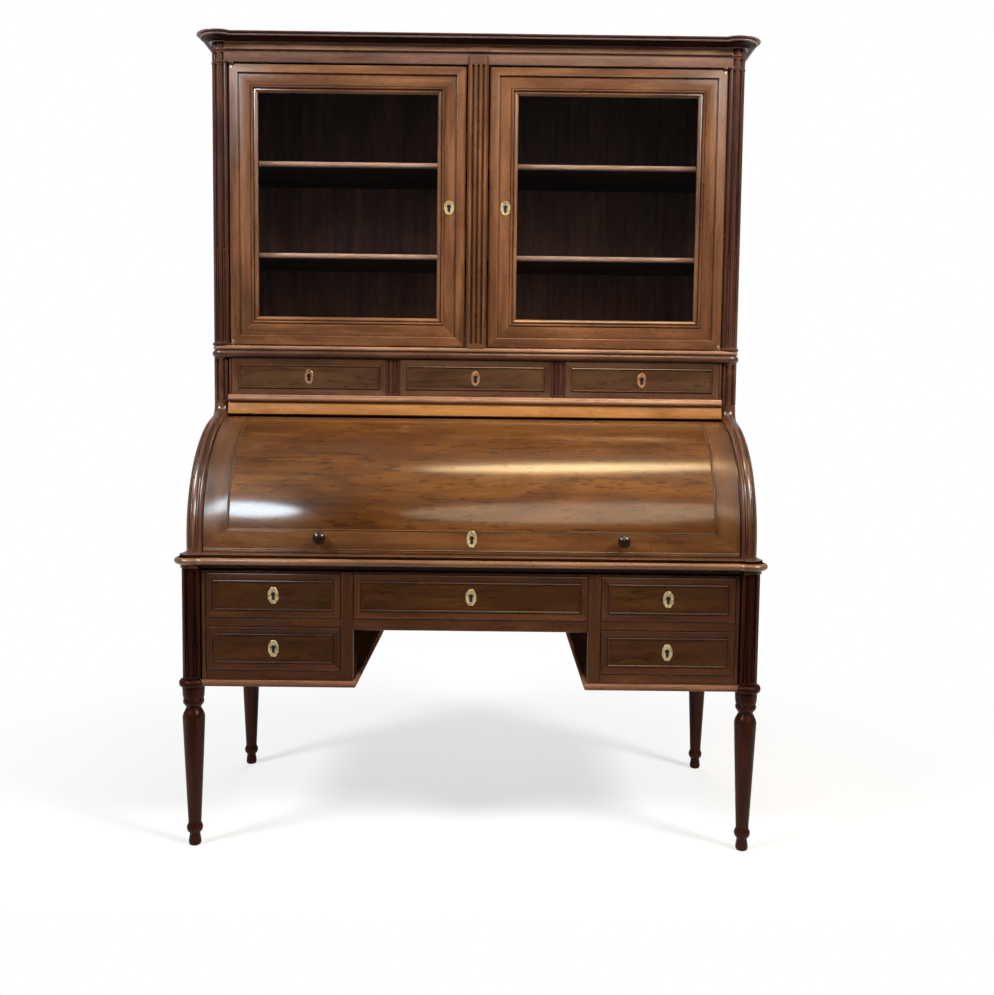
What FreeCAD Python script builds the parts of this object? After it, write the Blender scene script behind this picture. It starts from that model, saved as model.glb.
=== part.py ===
"""Cylinder desk with a glazed bookcase above it, in millimetres.

X runs to the right, Y to the back and Z up.  The origin is on the floor, under the middle of the desk.
Every face is a formula of the sizes below, so one changed size carries its neighbours along.
"""
import FreeCAD
import Part
import Sketcher
import os
import re

# Driving sizes: lengths in millimetres, angles in degrees
SIZES = {
    # plan of the case and of the desk top
    "case_width": 1472,
    "total_depth": 721,
    "lobe_radius": 44.5,
    "lobe_step": 3,
    "edge_setback": 11.5,
    "back_inset": 10.5,
    "back_thick": 12,
    # turned legs and posts
    "post_radius": 26.5,
    "post_flat": 18,
    "ring_radius": 36,
    "rear_post_setback": 28.5,
    # levels of the base, from the floor up
    "leg_height": 421,
    "floor_thick": 17,
    "bottom_rail": 26,
    "lower_drawer": 112,
    "mid_rail": 24,
    "apron_drop": 6,
    "upper_drawer": 113,
    "top_rail": 6,
    "shadow_gap": 6,
    "top_thick": 35,
    # boards of the base
    "rail_proud": 15,
    "rail_thick": 22,
    "shadow_depth": 12,
    "floor_lip": 8,
    "panel_thick": 22,
    "panel_inset": 10,
    "kneehole_half": 298,
    "knee_panel": 18,
    "inner_stile": 33,
    "outer_stile": 18.5,
    "dust_board": 18,
    "runner_width": 30,
    "guide_height": 20,
    # desk top and writing slide
    "bed_thick": 13,
    "bed_setback": 6,
    "rear_board": 260.5,
    "slide_drop": 0.5,
    "leather_thick": 1.5,
    "leather_margin": 60,
    "leather_front": 110,
    "leather_depth": 190,
    # cylinder
    "side_thick": 45,
    "axis_setback": 320,
    "axis_rise": 25,
    "cheek_radius": 335,
    "lid_radius": 327,
    "lid_thick": 18,
    "lid_low_angle": 4.3,
    "lid_high_angle": 80,
    "lid_stile": 66,
    "lid_rail_angle": 10.8,
    "lid_cap_angle": 4,
    "lid_gap": 1,
    "arm_thick": 8,
    "arm_start_angle": 14,
    "arm_span_angle": 34,
    "hub_radius": 24,
    "pin_radius": 8,
    "pin_gap": 0.05,
    "pin_head": 13,
    "pin_plate": 1.4,
    "knob_angle": 2.6,
    "knob_spread": 390,
    "knob_radius": 14.5,
    "knob_length": 30,
    # drawer row over the cylinder
    "cove_rail": 37,
    "cove_depth": 36,
    "row_floor": 19,
    "row_lip": 16,
    "row_drawer": 103,
    "row_centre_half": 213,
    "row_divider": 38,
    "row_end": 7,
    # bookcase
    "waist_thick": 33,
    "waist_step": 2,
    "waist_lobe": 29,
    "waist_lip": 10,
    "column_radius": 24,
    "column_flat": 12.5,
    "column_setback": 338,
    "face_inset": 4,
    "case_board": 22,
    "case_inset": 9,
    "bookcase_rise": 773,
    "strip_width": 12,
    "strip_setback": 14,
    "pilaster_half": 28,
    "pilaster_proud": 6,
    "frieze_height": 52,
    "cornice_lobe": 65,
    "cornice_side": 5,
    "cornice_front": 12,
    "cornice_neck": 10,
    "cornice_crown": 11,
    "cornice_step": 12,
    "shelf_thick": 13,
    "shelf_low": 250,
    "shelf_pitch": 253,
    "shelf_setback": 42,
    "cleat": 14,
    # doors
    "door_gap": 4,
    "door_side_gap": 1,
    "door_meeting_gap": 5,
    "door_thick": 26,
    "door_frame": 78,
    "door_top_rail": 76,
    "glass_thick": 4,
    "glass_setback": 11,
    "rebate": 9,
    "bead_thick": 6,
    "pivot_inset": 6,
    "pivot_radius": 3,
    "pivot_length": 12,
    "pivot_collar": 5.5,
    # drawers
    "drawer_gap": 1,
    "slide_gap": 0.3,
    "face_proud": 2,
    "front_thick": 22,
    "field_margin": 22,
    "field_depth": 4,
    "drawer_side": 10,
    "drawer_bottom": 6,
    "bottom_rise": 4,
    "side_drop": 10,
    "desk_drawer_rear_gap": 109,
    "row_drawer_rear_gap": 25.5,
    "nest_drawer_rear_gap": 9,
    # locks
    "lock_width": 40,
    "door_key_shift": 6.5,
    "lock_height": 32,
    "lock_thick": 10,
    "plate_width": 29,
    "plate_height": 42,
    "plate_thick": 1.2,
    # nest of pigeonholes
    "nest_side_gap": 15,
    "nest_depth": 270,
    "nest_height": 226,
    "nest_board": 9,
    "nest_setback": 108,
    "nest_drawer_width": 320,
    "nest_drawer_height": 76,
    "nest_knob": 7,
    # every cut runs this far past the face it opens
    "overrun": 5,
}

# Leg outline below the pedestal: height as a share of the leg's height, radius as a share of the post's
LEG_OUTLINE_SHARES = (
    (0.000, 0.50), (0.012, 0.58), (0.045, 0.58), (0.069, 0.51), (0.092, 0.68), (0.109, 0.78), (0.130, 0.72),
    (0.150, 0.62), (0.780, 1.05), (0.806, 1.06), (0.830, 1.00), (0.866, 0.70), (0.890, 0.92), (0.900, 1.00),
    (0.925, 1.02), (0.985, 1.04),
)
# Ring on the leg at the pedestal floor: height as a share of the floor's, reach as a share of the ring's
RING_OUTLINE_SHARES = ((0.0, 0.25), (0.3, 0.85), (0.5, 1.0), (0.7, 0.85), (1.0, 0.25))
# Knob of the cylinder: distance from the lid as a share of its length, radius as a share of its own
KNOB_OUTLINE_SHARES = ((0.0, 0.62), (0.1, 0.66), (0.18, 0.42), (0.34, 0.42), (0.46, 0.84), (0.62, 1.0),
                       (0.78, 0.9), (0.92, 0.56))

# Levels
FLOOR_TOP = "(leg_height + floor_thick)"
LOWER_LOW = f"({FLOOR_TOP} + bottom_rail)"
LOWER_HIGH = f"({LOWER_LOW} + lower_drawer)"
APRON_LOW = f"({LOWER_HIGH} - apron_drop)"
UPPER_LOW = f"({LOWER_HIGH} + mid_rail)"
UPPER_HIGH = f"({UPPER_LOW} + upper_drawer)"
RAIL_TOP = f"({UPPER_HIGH} + top_rail)"
BED_LOW = f"({RAIL_TOP} + shadow_gap)"
BED_TOP = f"({BED_LOW} + bed_thick)"
DESK_TOP = f"({BED_LOW} + top_thick)"
AXIS_Z = f"({DESK_TOP} + axis_rise)"
COVE_LOW = f"({AXIS_Z} + lid_radius + lid_gap)"
ROW_LOW = f"({COVE_LOW} + cove_rail)"
ROW_FLOOR = f"({ROW_LOW} + row_floor)"
WAIST_LOW = f"({ROW_FLOOR} + row_drawer)"
WAIST_TOP = f"({WAIST_LOW} + waist_thick)"
FRIEZE_LOW = f"({WAIST_TOP} + bookcase_rise)"
FRIEZE_TOP = f"({FRIEZE_LOW} + frieze_height)"
NECK_TOP = f"({FRIEZE_TOP} + cornice_neck)"
CROWN_TOP = f"({NECK_TOP} + cornice_crown)"
DOOR_LOW = f"({WAIST_TOP} + door_gap)"
DOOR_HIGH = f"({FRIEZE_LOW} - door_gap)"

# Places from front to back
BACK_FACE = "total_depth / 2"
POST_Y = "(lobe_radius - total_depth / 2)"
REAR_POST_Y = "(total_depth / 2 - rear_post_setback)"
RAIL_FRONT = f"({POST_Y} - rail_proud)"
RAIL_BACK = f"({RAIL_FRONT} + rail_thick)"
PANEL_BACK = "(total_depth / 2 - back_inset)"
PANEL_FRONT = f"({PANEL_BACK} - back_thick)"
EDGE_FRONT = "(edge_setback - total_depth / 2)"
BED_FRONT = f"({RAIL_FRONT} + bed_setback)"
REAR_BOARD_FRONT = "(total_depth / 2 - rear_board)"
AXIS_Y = "(total_depth / 2 - axis_setback)"
COLUMN_Y = "(total_depth / 2 - column_setback)"
COLUMN_FRONT = f"({COLUMN_Y} - column_radius)"
FACE_Y = f"({COLUMN_FRONT} + face_inset)"
STRIP_FRONT = f"({FACE_Y} + strip_setback)"
DOOR_BACK = f"({FACE_Y} + door_thick)"

# Places across, on the right-hand side
POST_X = "(case_width / 2 - post_radius)"
POST_INNER = f"({POST_X} - post_flat)"
PANEL_OUTER = "(case_width / 2 - panel_inset)"
PANEL_INNER = f"({PANEL_OUTER} - panel_thick)"
KNEE_OUTER = "(kneehole_half + knee_panel)"
DRAWER_INNER = "(kneehole_half + inner_stile)"
DRAWER_OUTER = f"({POST_INNER} - outer_stile)"
SIDE_INNER = "(case_width / 2 - side_thick)"
SLIDE_HALF = f"({SIDE_INNER} - slide_drop)"
LID_HALF = f"({SIDE_INNER} - lid_gap)"
COLUMN_X = "(case_width / 2 - column_radius)"
COLUMN_INNER = f"({COLUMN_X} - column_flat)"
CASE_OUTER = "(case_width / 2 - case_inset)"
CASE_INNER = f"({CASE_OUTER} - case_board)"
STRIP_INNER = f"({COLUMN_INNER} - strip_width)"
DOOR_OUTER = f"({STRIP_INNER} - door_side_gap)"
DOOR_INNER = "(pilaster_half + door_meeting_gap)"
PIVOT_X = f"({DOOR_OUTER} - pivot_inset)"
PIVOT_Y = f"({FACE_Y} + pivot_inset)"
ROW_DIVIDER_OUTER = "(row_centre_half + row_divider)"
ROW_OUTER = f"({SIDE_INNER} - row_end)"

ALONG_X = FreeCAD.Rotation(FreeCAD.Vector(0, 1, 0), 90)
QUARTER_TURN = FreeCAD.Rotation(FreeCAD.Vector(0, 1, 0), -90) * FreeCAD.Rotation(FreeCAD.Vector(0, 0, 1), -90)
PLATE_TURN = FreeCAD.Rotation(FreeCAD.Vector(1, 1, 1), 240)

doc = FreeCAD.newDocument("cylinder_desk")
sheet = doc.addObject("Spreadsheet::Sheet", "Sizes")
for row, (alias, number) in enumerate(SIZES.items(), start=1):
    sheet.set(f"A{row}", alias)
    sheet.set(f"B{row}", str(number))
    sheet.setAlias(f"B{row}", alias)
doc.recompute()

nodes = []


def formula(text):
    """Writes the sheet's name before each size in a formula."""
    return re.sub(r"[a-z_]+", lambda word: f"Sizes.{word[0]}" if word[0] in SIZES else word[0], text)


def bind(thing, **formulas):
    """Ties properties of a thing to formulas of the sizes."""
    for name, text in formulas.items():
        thing.setExpression(name, formula(text))
    return thing


def place(thing, x, y, z, turn=None):
    """Puts a thing's own origin at a point given in formulas, turned if a rotation is given."""
    thing.Placement = FreeCAD.Placement(FreeCAD.Vector(), turn or FreeCAD.Rotation())
    for axis, text in zip("xyz", (x, y, z)):
        thing.setExpression(f"Placement.Base.{axis}", formula(text))
    return thing


def board(name, across, along, upward):
    """A plank between a low and a high face on each axis, each face a formula."""
    plank = doc.addObject("Part::Box", name)
    spans = dict(zip(("Length", "Width", "Height"), (across, along, upward)))
    bind(plank, **{side: f"({high}) - ({low})" for side, (low, high) in spans.items()})
    return place(plank, across[0], along[0], upward[0])


def mirrored(across):
    """The same span on the other side of the desk."""
    return (f"-({across[1]})", f"-({across[0]})")


def pair(name, across, along, upward):
    """The same plank on the left and on the right of the desk."""
    left = board(f"{name}_left", mirrored(across), along, upward)
    right = board(f"{name}_right", across, along, upward)
    return [left, right]


def rod(name, x, y, z, radius, height, turn=None):
    """A round bar that starts at a point and runs up, or along a turned axis."""
    bar = bind(doc.addObject("Part::Cylinder", name), Radius=radius, Height=height)
    return place(bar, x, y, z, turn)


def cut(name, base, *tools):
    """The base with each tool taken away."""
    for step, tool in enumerate(tools):
        result = doc.addObject("Part::Cut", f"{name}_cut_{step}")
        result.Base = base
        result.Tool = tool
        base = result
    return base


def fuse(name, *members):
    """Members grown into one solid."""
    whole = doc.addObject("Part::MultiFuse", name)
    whole.Shapes = list(members)
    whole.Refine = True
    return whole


def node(label, *members):
    """Names a sub-part: one solid, or several separate solids kept together."""
    piece = members[0]
    if len(members) > 1:
        piece = doc.addObject("Part::Compound", f"{label}_group")
        piece.Links = list(members)
    piece.Label = label
    nodes.append(piece)


def outline(body, role, points):
    """A closed outline on one of the body's own planes, its corners given in formulas."""
    sketch = body.newObject("Sketcher::SketchObject", f"{body.Name}_outline")
    plane = next(feature for feature in body.Origin.OriginFeatures if feature.Role == role)
    sketch.AttachmentSupport = [(plane, "")]
    sketch.MapMode = "FlatFace"
    count = len(points)
    for index in range(count):
        start = FreeCAD.Vector(index, index * index, 0)
        following = (index + 1) % count
        end = FreeCAD.Vector(following, following * following, 0)
        sketch.addGeometry(Part.LineSegment(start, end), False)
    for index in range(count):
        sketch.addConstraint(Sketcher.Constraint("Coincident", index, 2, (index + 1) % count, 1))
    for index, corner in enumerate(points):
        for kind, text in zip(("DistanceX", "DistanceY"), corner):
            number = sketch.addConstraint(Sketcher.Constraint(kind, -1, 1, index, 1, index + 1))
            sketch.setExpression(f"Constraints[{number}]", formula(text))
    return sketch


def turned(name, profile):
    """A turning about its own upright axis, from (radius, height) formulas listed from the bottom up."""
    body = doc.addObject("PartDesign::Body", name)
    points = [("0", profile[0][1]), *profile, ("0", profile[-1][1])]
    sketch = outline(body, "XZ_Plane", points)
    spin = body.newObject("PartDesign::Revolution", f"{name}_turning")
    spin.Profile = sketch
    spin.ReferenceAxis = (sketch, ["V_Axis"])
    spin.Angle = 360
    return body


def sector(name, across, inner, outer, start, span):
    """A curved plank about the cylinder's axis, between two radii, from a start angle above level."""
    body = doc.addObject("PartDesign::Body", name)
    low, high = across
    points = [(low, f"-({outer})"), (high, f"-({outer})"), (high, f"-({inner})"), (low, f"-({inner})")]
    sketch = outline(body, "XZ_Plane", points)
    sweep = body.newObject("PartDesign::Revolution", f"{name}_sweep")
    sweep.Profile = sketch
    sweep.ReferenceAxis = (sketch, ["H_Axis"])
    sweep.Reversed = True
    bind(sweep, Angle=span)
    place(body, "0", AXIS_Y, AXIS_Z, FreeCAD.Rotation(FreeCAD.Vector(-1, 0, 0), 90))
    body.setExpression("Placement.Rotation.Angle", formula(f"90 + ({start})"))
    return body


# Base: turned legs, each post with two flats that the rails and panels butt against


def leg(side, post_y, flat, has_ring):
    """A leg and its post up to the desk top, flat on the inner side and on one side along the depth."""
    profile = [(f"{radius} * post_radius", f"{height} * leg_height") for height, radius in LEG_OUTLINE_SHARES]
    if has_ring:
        profile += [(f"post_radius + {reach} * (ring_radius - post_radius)", f"leg_height + {rise} * floor_thick")
                    for rise, reach in RING_OUTLINE_SHARES]
    profile += [("post_radius", FLOOR_TOP if has_ring else "leg_height"), ("post_radius", BED_LOW)]
    name = f"leg_{side}_{'front' if has_ring else 'rear'}"
    middle = POST_X if side == "right" else f"-{POST_X}"
    turning = place(turned(name, profile), middle, post_y, "0")
    reach = "(ring_radius + overrun)"
    above = ("leg_height", f"{BED_LOW} + overrun")
    inner = (f"{POST_X} - {reach}", POST_INNER)
    beside = board(f"{name}_inner_flat", inner if side == "right" else mirrored(inner),
                   (f"{post_y} - {reach}", f"{post_y} + {reach}"), above)
    behind = board(f"{name}_deep_flat", (f"{middle} - {reach}", f"{middle} + {reach}"), flat, above)
    return cut(name, turning, beside, behind)


FRONT_FLAT = f"({POST_Y} + post_flat)"
REAR_FLAT = f"({REAR_POST_Y} - post_flat)"
front_flat_span = (FRONT_FLAT, f"{FRONT_FLAT} + ring_radius")
rear_flat_span = (f"{REAR_FLAT} - ring_radius", REAR_FLAT)
node("front_left_leg", leg("left", POST_Y, front_flat_span, True))
node("front_right_leg", leg("right", POST_Y, front_flat_span, True))
node("rear_legs", *[leg(side, REAR_POST_Y, rear_flat_span, False) for side in ("left", "right")])

# Base: panels, floors, rails and runners
CASE_HEIGHT = (FLOOR_TOP, BED_LOW)
node("base_side_panels", *pair("side_panel", (PANEL_INNER, PANEL_OUTER), (FRONT_FLAT, REAR_FLAT), CASE_HEIGHT))
node("kneehole_panels", *pair("knee", ("kneehole_half", KNEE_OUTER), (RAIL_BACK, PANEL_BACK), CASE_HEIGHT))
node("base_back_panels",
     *pair("base_back", (KNEE_OUTER, POST_INNER), (PANEL_FRONT, PANEL_BACK), CASE_HEIGHT),
     board("knee_back", ("-kneehole_half", "kneehole_half"), (PANEL_FRONT, PANEL_BACK), (APRON_LOW, BED_LOW)))

floors = []
for side in ("left", "right"):
    flip = mirrored if side == "left" else tuple
    through = ("leg_height - overrun", f"{FLOOR_TOP} + overrun")
    corner = flip((POST_INNER, f"{POST_X} + ring_radius"))
    slab = board(f"floor_{side}", flip(("kneehole_half - floor_lip", f"{PANEL_OUTER} + floor_lip")),
                 (f"{RAIL_FRONT} - floor_lip", PANEL_BACK), ("leg_height", FLOOR_TOP))
    front_notch = board(f"floor_{side}_front", corner, (f"{RAIL_FRONT} - ring_radius", FRONT_FLAT), through)
    rear_notch = board(f"floor_{side}_rear", corner, (REAR_FLAT, f"{BACK_FACE} + overrun"), through)
    floors.append(cut(f"floor_{side}", slab, front_notch, rear_notch))
node("pedestal_floors", *floors)

RAIL_DEPTH = (RAIL_FRONT, RAIL_BACK)
ACROSS_DRAWER = (DRAWER_INNER, DRAWER_OUTER)
ACROSS_KNEE = ("-kneehole_half", "kneehole_half")
node("base_front_rails",
     *pair("inner_stile_board", ("kneehole_half", DRAWER_INNER), RAIL_DEPTH, (FLOOR_TOP, RAIL_TOP)),
     *pair("outer_stile_board", (DRAWER_OUTER, POST_INNER), RAIL_DEPTH, (FLOOR_TOP, RAIL_TOP)),
     *pair("rail_bottom", ACROSS_DRAWER, RAIL_DEPTH, (FLOOR_TOP, LOWER_LOW)),
     *pair("rail_middle", ACROSS_DRAWER, RAIL_DEPTH, (LOWER_HIGH, UPPER_LOW)),
     *pair("rail_upper", ACROSS_DRAWER, RAIL_DEPTH, (UPPER_HIGH, RAIL_TOP)),
     board("apron", ACROSS_KNEE, RAIL_DEPTH, (APRON_LOW, UPPER_LOW)),
     board("rail_centre", ACROSS_KNEE, RAIL_DEPTH, (UPPER_HIGH, RAIL_TOP)),
     board("shadow_strip", (f"-{POST_INNER}", POST_INNER), (f"{RAIL_FRONT} + shadow_depth", RAIL_BACK),
           (RAIL_TOP, BED_LOW)))

INSIDE = (RAIL_BACK, PANEL_FRONT)
runners = []
for level, low in (("lower", LOWER_LOW), ("upper", UPPER_LOW)):
    upright = (low, f"{low} + guide_height")
    runners += pair(f"{level}_inner_guide", (KNEE_OUTER, DRAWER_INNER), INSIDE, upright)
    runners += pair(f"{level}_outer_guide", (DRAWER_OUTER, POST_INNER), INSIDE, upright)
runners += pair("inner_runner", (KNEE_OUTER, f"{DRAWER_INNER} + runner_width"), INSIDE, (FLOOR_TOP, LOWER_LOW))
runners += pair("outer_runner", (f"{DRAWER_OUTER} - runner_width", POST_INNER), INSIDE, (FLOOR_TOP, LOWER_LOW))
runners += pair("dust", (KNEE_OUTER, POST_INNER), INSIDE, (f"{UPPER_LOW} - dust_board", UPPER_LOW))
runners.append(board("knee_soffit", ACROSS_KNEE, INSIDE, (f"{UPPER_LOW} - dust_board", UPPER_LOW)))
node("base_drawer_runners", *runners)

# Desk top: two arms with round front corners, a bed for the slide and a fixed board behind it
arms = []
for side in ("left", "right"):
    flip = mirrored if side == "left" else tuple
    middle = POST_X if side == "right" else f"-{POST_X}"
    lobe_reach = "(lobe_radius + overrun)"
    plank = board(f"top_{side}", flip((SIDE_INNER, f"{POST_X} + lobe_radius - lobe_step")), (POST_Y, BACK_FACE),
                  (BED_LOW, DESK_TOP))
    lobe = rod(f"top_{side}_lobe", middle, POST_Y, BED_LOW, "lobe_radius", "top_thick")
    slot = board(f"top_{side}_slot", flip((f"{POST_X} - {lobe_reach}", SIDE_INNER)),
                 (f"{POST_Y} - {lobe_reach}", f"{POST_Y} + {lobe_reach}"),
                 (f"{BED_LOW} - overrun", f"{DESK_TOP} + overrun"))
    arms.append(cut(f"top_{side}", fuse(f"top_{side}_whole", plank, lobe), slot))
ACROSS_CASE = (f"-{SIDE_INNER}", SIDE_INNER)
node("desk_top", *arms,
     board("bed", ACROSS_CASE, (BED_FRONT, REAR_BOARD_FRONT), (BED_LOW, BED_TOP)),
     board("top_rear", ACROSS_CASE, (REAR_BOARD_FRONT, BACK_FACE), (BED_LOW, DESK_TOP)))

# Writing slide: a board with a half-round nose and a leather panel let into its top
SLIDE_TOP = f"({DESK_TOP} - slide_drop)"
NOSE = "(top_thick / 2 - slide_drop)"
ACROSS_SLIDE = (f"-{SLIDE_HALF}", SLIDE_HALF)
LEATHER_SPANS = ((f"leather_margin - {SLIDE_HALF}", f"{SLIDE_HALF} - leather_margin"),
                 (f"{EDGE_FRONT} + leather_front", f"{EDGE_FRONT} + leather_front + leather_depth"))
LEATHER_LOW = f"{SLIDE_TOP} - leather_thick"
plank = board("slide_plank", ACROSS_SLIDE, (f"{EDGE_FRONT} + {NOSE}", f"{REAR_BOARD_FRONT} - slide_drop"),
              (f"{BED_TOP} + slide_gap", SLIDE_TOP))
nose = rod("slide_nose", f"-{SLIDE_HALF}", f"{EDGE_FRONT} + {NOSE}", f"{BED_LOW} + top_thick / 2", NOSE,
           f"2 * {SLIDE_HALF}", ALONG_X)
bed_room = board("slide_bed_room", (f"-{SIDE_INNER}", SIDE_INNER), (f"{BED_FRONT} - slide_gap", REAR_BOARD_FRONT),
                 (f"{BED_LOW} - overrun", f"{BED_TOP} + slide_gap"))
leather_room = board("slide_leather_room", *LEATHER_SPANS, (LEATHER_LOW, f"{SLIDE_TOP} + overrun"))
node("writing_slide_board", cut("slide", fuse("slide_whole", plank, nose), bed_room, leather_room))
node("writing_slide_leather", board("slide_leather", *LEATHER_SPANS, (LEATHER_LOW, SLIDE_TOP)))

# Cylinder case: sides with a quarter-round front, top rail, boards of the drawer row and the back
for side in ("left", "right"):
    flip = mirrored if side == "left" else tuple
    across = flip((SIDE_INNER, "case_width / 2"))
    quarter = bind(doc.addObject("Part::Cylinder", f"cheek_{side}"), Radius="cheek_radius", Height="side_thick")
    quarter.Angle = 90
    place(quarter, across[1], AXIS_Y, AXIS_Z, QUARTER_TURN)
    foot = board(f"cheek_{side}_foot", across, (f"{AXIS_Y} - cheek_radius", AXIS_Y), (DESK_TOP, AXIS_Z))
    rear = board(f"cheek_{side}_rear", across, (AXIS_Y, BACK_FACE), (DESK_TOP, WAIST_LOW))
    neck = board(f"cheek_{side}_neck", across, (COLUMN_FRONT, AXIS_Y), (AXIS_Z, WAIST_LOW))
    node(f"cylinder_side_{side}", fuse(f"cheek_{side}_whole", quarter, foot, rear, neck))

LIP_FRONT = f"({FACE_Y} - row_lip)"
node("cylinder_top_rail", board("cove", ACROSS_CASE, (LIP_FRONT, f"{LIP_FRONT} + cove_depth"), (COVE_LOW, ROW_LOW)))
ROW_DEPTH = (FACE_Y, PANEL_FRONT)
node("drawer_row_boards",
     board("row_floor_board", ACROSS_CASE, (LIP_FRONT, PANEL_FRONT), (ROW_LOW, ROW_FLOOR)),
     *pair("row_divider_board", ("row_centre_half", ROW_DIVIDER_OUTER), ROW_DEPTH, (ROW_FLOOR, WAIST_LOW)),
     *pair("row_end_board", (ROW_OUTER, SIDE_INNER), ROW_DEPTH, (ROW_FLOOR, WAIST_LOW)))
node("lower_case_back", board("case_back", ACROSS_CASE, (PANEL_FRONT, PANEL_BACK), (DESK_TOP, WAIST_LOW)))

# Cylinder lid: a curved panel in a frame, carried at each end by an arm on a pivot pin
LID_INNER = "(lid_radius - lid_thick)"
LID_SPAN = "(lid_low_angle + lid_high_angle)"
ACROSS_FIELD = (f"lid_stile - {LID_HALF}", f"{LID_HALF} - lid_stile")
stile_span = (f"{LID_HALF} - lid_stile", LID_HALF)
node("cylinder_panel",
     sector("lid_panel", ACROSS_FIELD, LID_INNER, "lid_radius", "lid_rail_angle - lid_low_angle",
            f"{LID_SPAN} - lid_rail_angle - lid_cap_angle"))
node("cylinder_frame",
     sector("lid_stile_left", mirrored(stile_span), LID_INNER, "lid_radius", "-lid_low_angle", LID_SPAN),
     sector("lid_stile_right", stile_span, LID_INNER, "lid_radius", "-lid_low_angle", LID_SPAN),
     sector("lid_rail", ACROSS_FIELD, LID_INNER, "lid_radius", "-lid_low_angle", "lid_rail_angle"),
     sector("lid_cap", ACROSS_FIELD, LID_INNER, "lid_radius", "lid_high_angle - lid_cap_angle", "lid_cap_angle"))

KNOB_Y = f"({AXIS_Y} - lid_radius * cos(knob_angle))"
KNOB_RISE = "(lid_radius * sin(knob_angle))"
knobs = []
for side, middle in (("left", "-knob_spread"), ("right", "knob_spread")):
    profile = [(f"{radius} * knob_radius", f"{reach} * knob_length") for reach, radius in KNOB_OUTLINE_SHARES]
    knob = turned(f"knob_{side}", profile)
    place(knob, middle, KNOB_Y, f"{AXIS_Z} + {KNOB_RISE}", FreeCAD.Rotation(FreeCAD.Vector(1, 0, 0), 90))
    knob.setExpression("Placement.Rotation.Angle", formula("90 - knob_angle"))
    knobs.append(knob)
node("cylinder_knobs", *knobs)

ARM_OUTER = f"({SIDE_INNER} - pin_plate - slide_gap)"
ARM_INNER = f"({ARM_OUTER} - arm_thick)"
HEAD_OUTER = f"({ARM_INNER} - slide_gap)"
HEAD_INNER = f"({HEAD_OUTER} - pin_plate)"
swing_arms = []
fittings = []
for side in ("left", "right"):
    flip = mirrored if side == "left" else tuple

    def axle(name, across, radius):
        """A round bar on the cylinder's axis."""
        low, high = flip(across)
        return rod(f"{name}_{side}", low, AXIS_Y, AXIS_Z, radius, f"({high}) - ({low})", ALONG_X)

    fan = sector(f"arm_fan_{side}", flip((ARM_INNER, ARM_OUTER)), "hub_radius - overrun", LID_INNER,
                 "arm_start_angle", "arm_span_angle")
    hub = axle("arm_hub", (ARM_INNER, ARM_OUTER), "hub_radius")
    bore = axle("arm_bore", (f"{ARM_INNER} - overrun", f"{ARM_OUTER} + overrun"), "pin_radius + pin_gap")
    swing_arms.append(cut(f"arm_{side}", fuse(f"arm_whole_{side}", fan, hub), bore))
    plate = axle("pin_plate", (f"{SIDE_INNER} - pin_plate", SIDE_INNER), "hub_radius")
    pin = axle("pin", (HEAD_INNER, SIDE_INNER), "pin_radius")
    head = axle("pin_head", (HEAD_INNER, HEAD_OUTER), "pin_head")
    fittings.append(fuse(f"pivot_{side}", plate, pin, head))
node("cylinder_arms", *swing_arms)


# Locks and drawers


def plate(name, x, y_front, z):
    """An oval lock plate that stands on a face, its front at the given place."""
    oval = bind(doc.addObject("Part::Ellipse", f"{name}_oval"), MajorRadius="plate_height / 2",
                MinorRadius="plate_width / 2")
    place(oval, x, y_front, z, PLATE_TURN)
    brass = doc.addObject("Part::Extrusion", f"{name}_plate")
    brass.Base = oval
    brass.DirMode = "Normal"
    brass.Solid = True
    return bind(brass, LengthFwd="plate_thick")


def lock_case(name, x, y_span, z):
    """The case of a lock, centred on its key."""
    return board(f"{name}_case", (f"{x} - lock_width / 2", f"{x} + lock_width / 2"), y_span,
                 (f"{z} - lock_height / 2", f"{z} + lock_height / 2"))


def box_boards(name, across, along, low, high, side, bottom):
    """Two sides, a back and a bottom, from behind a drawer front to the rear of the drawer."""
    left, right = across
    front_back, rear = along
    inner = (f"{left} + {side}", f"{right} - {side}")
    floor = f"({low} + bottom_rise)"
    top = f"{high} - side_drop"
    return [
        board(f"{name}_side_left", (left, f"{left} + {side}"), (front_back, rear), (low, top)),
        board(f"{name}_side_right", (f"{right} - {side}", right), (front_back, rear), (low, top)),
        board(f"{name}_bottom", inner, (front_back, rear), (floor, f"{floor} + {bottom}")),
        board(f"{name}_back", inner, (f"{rear} - {side}", rear), (f"{floor} + {bottom}", top)),
    ]


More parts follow.
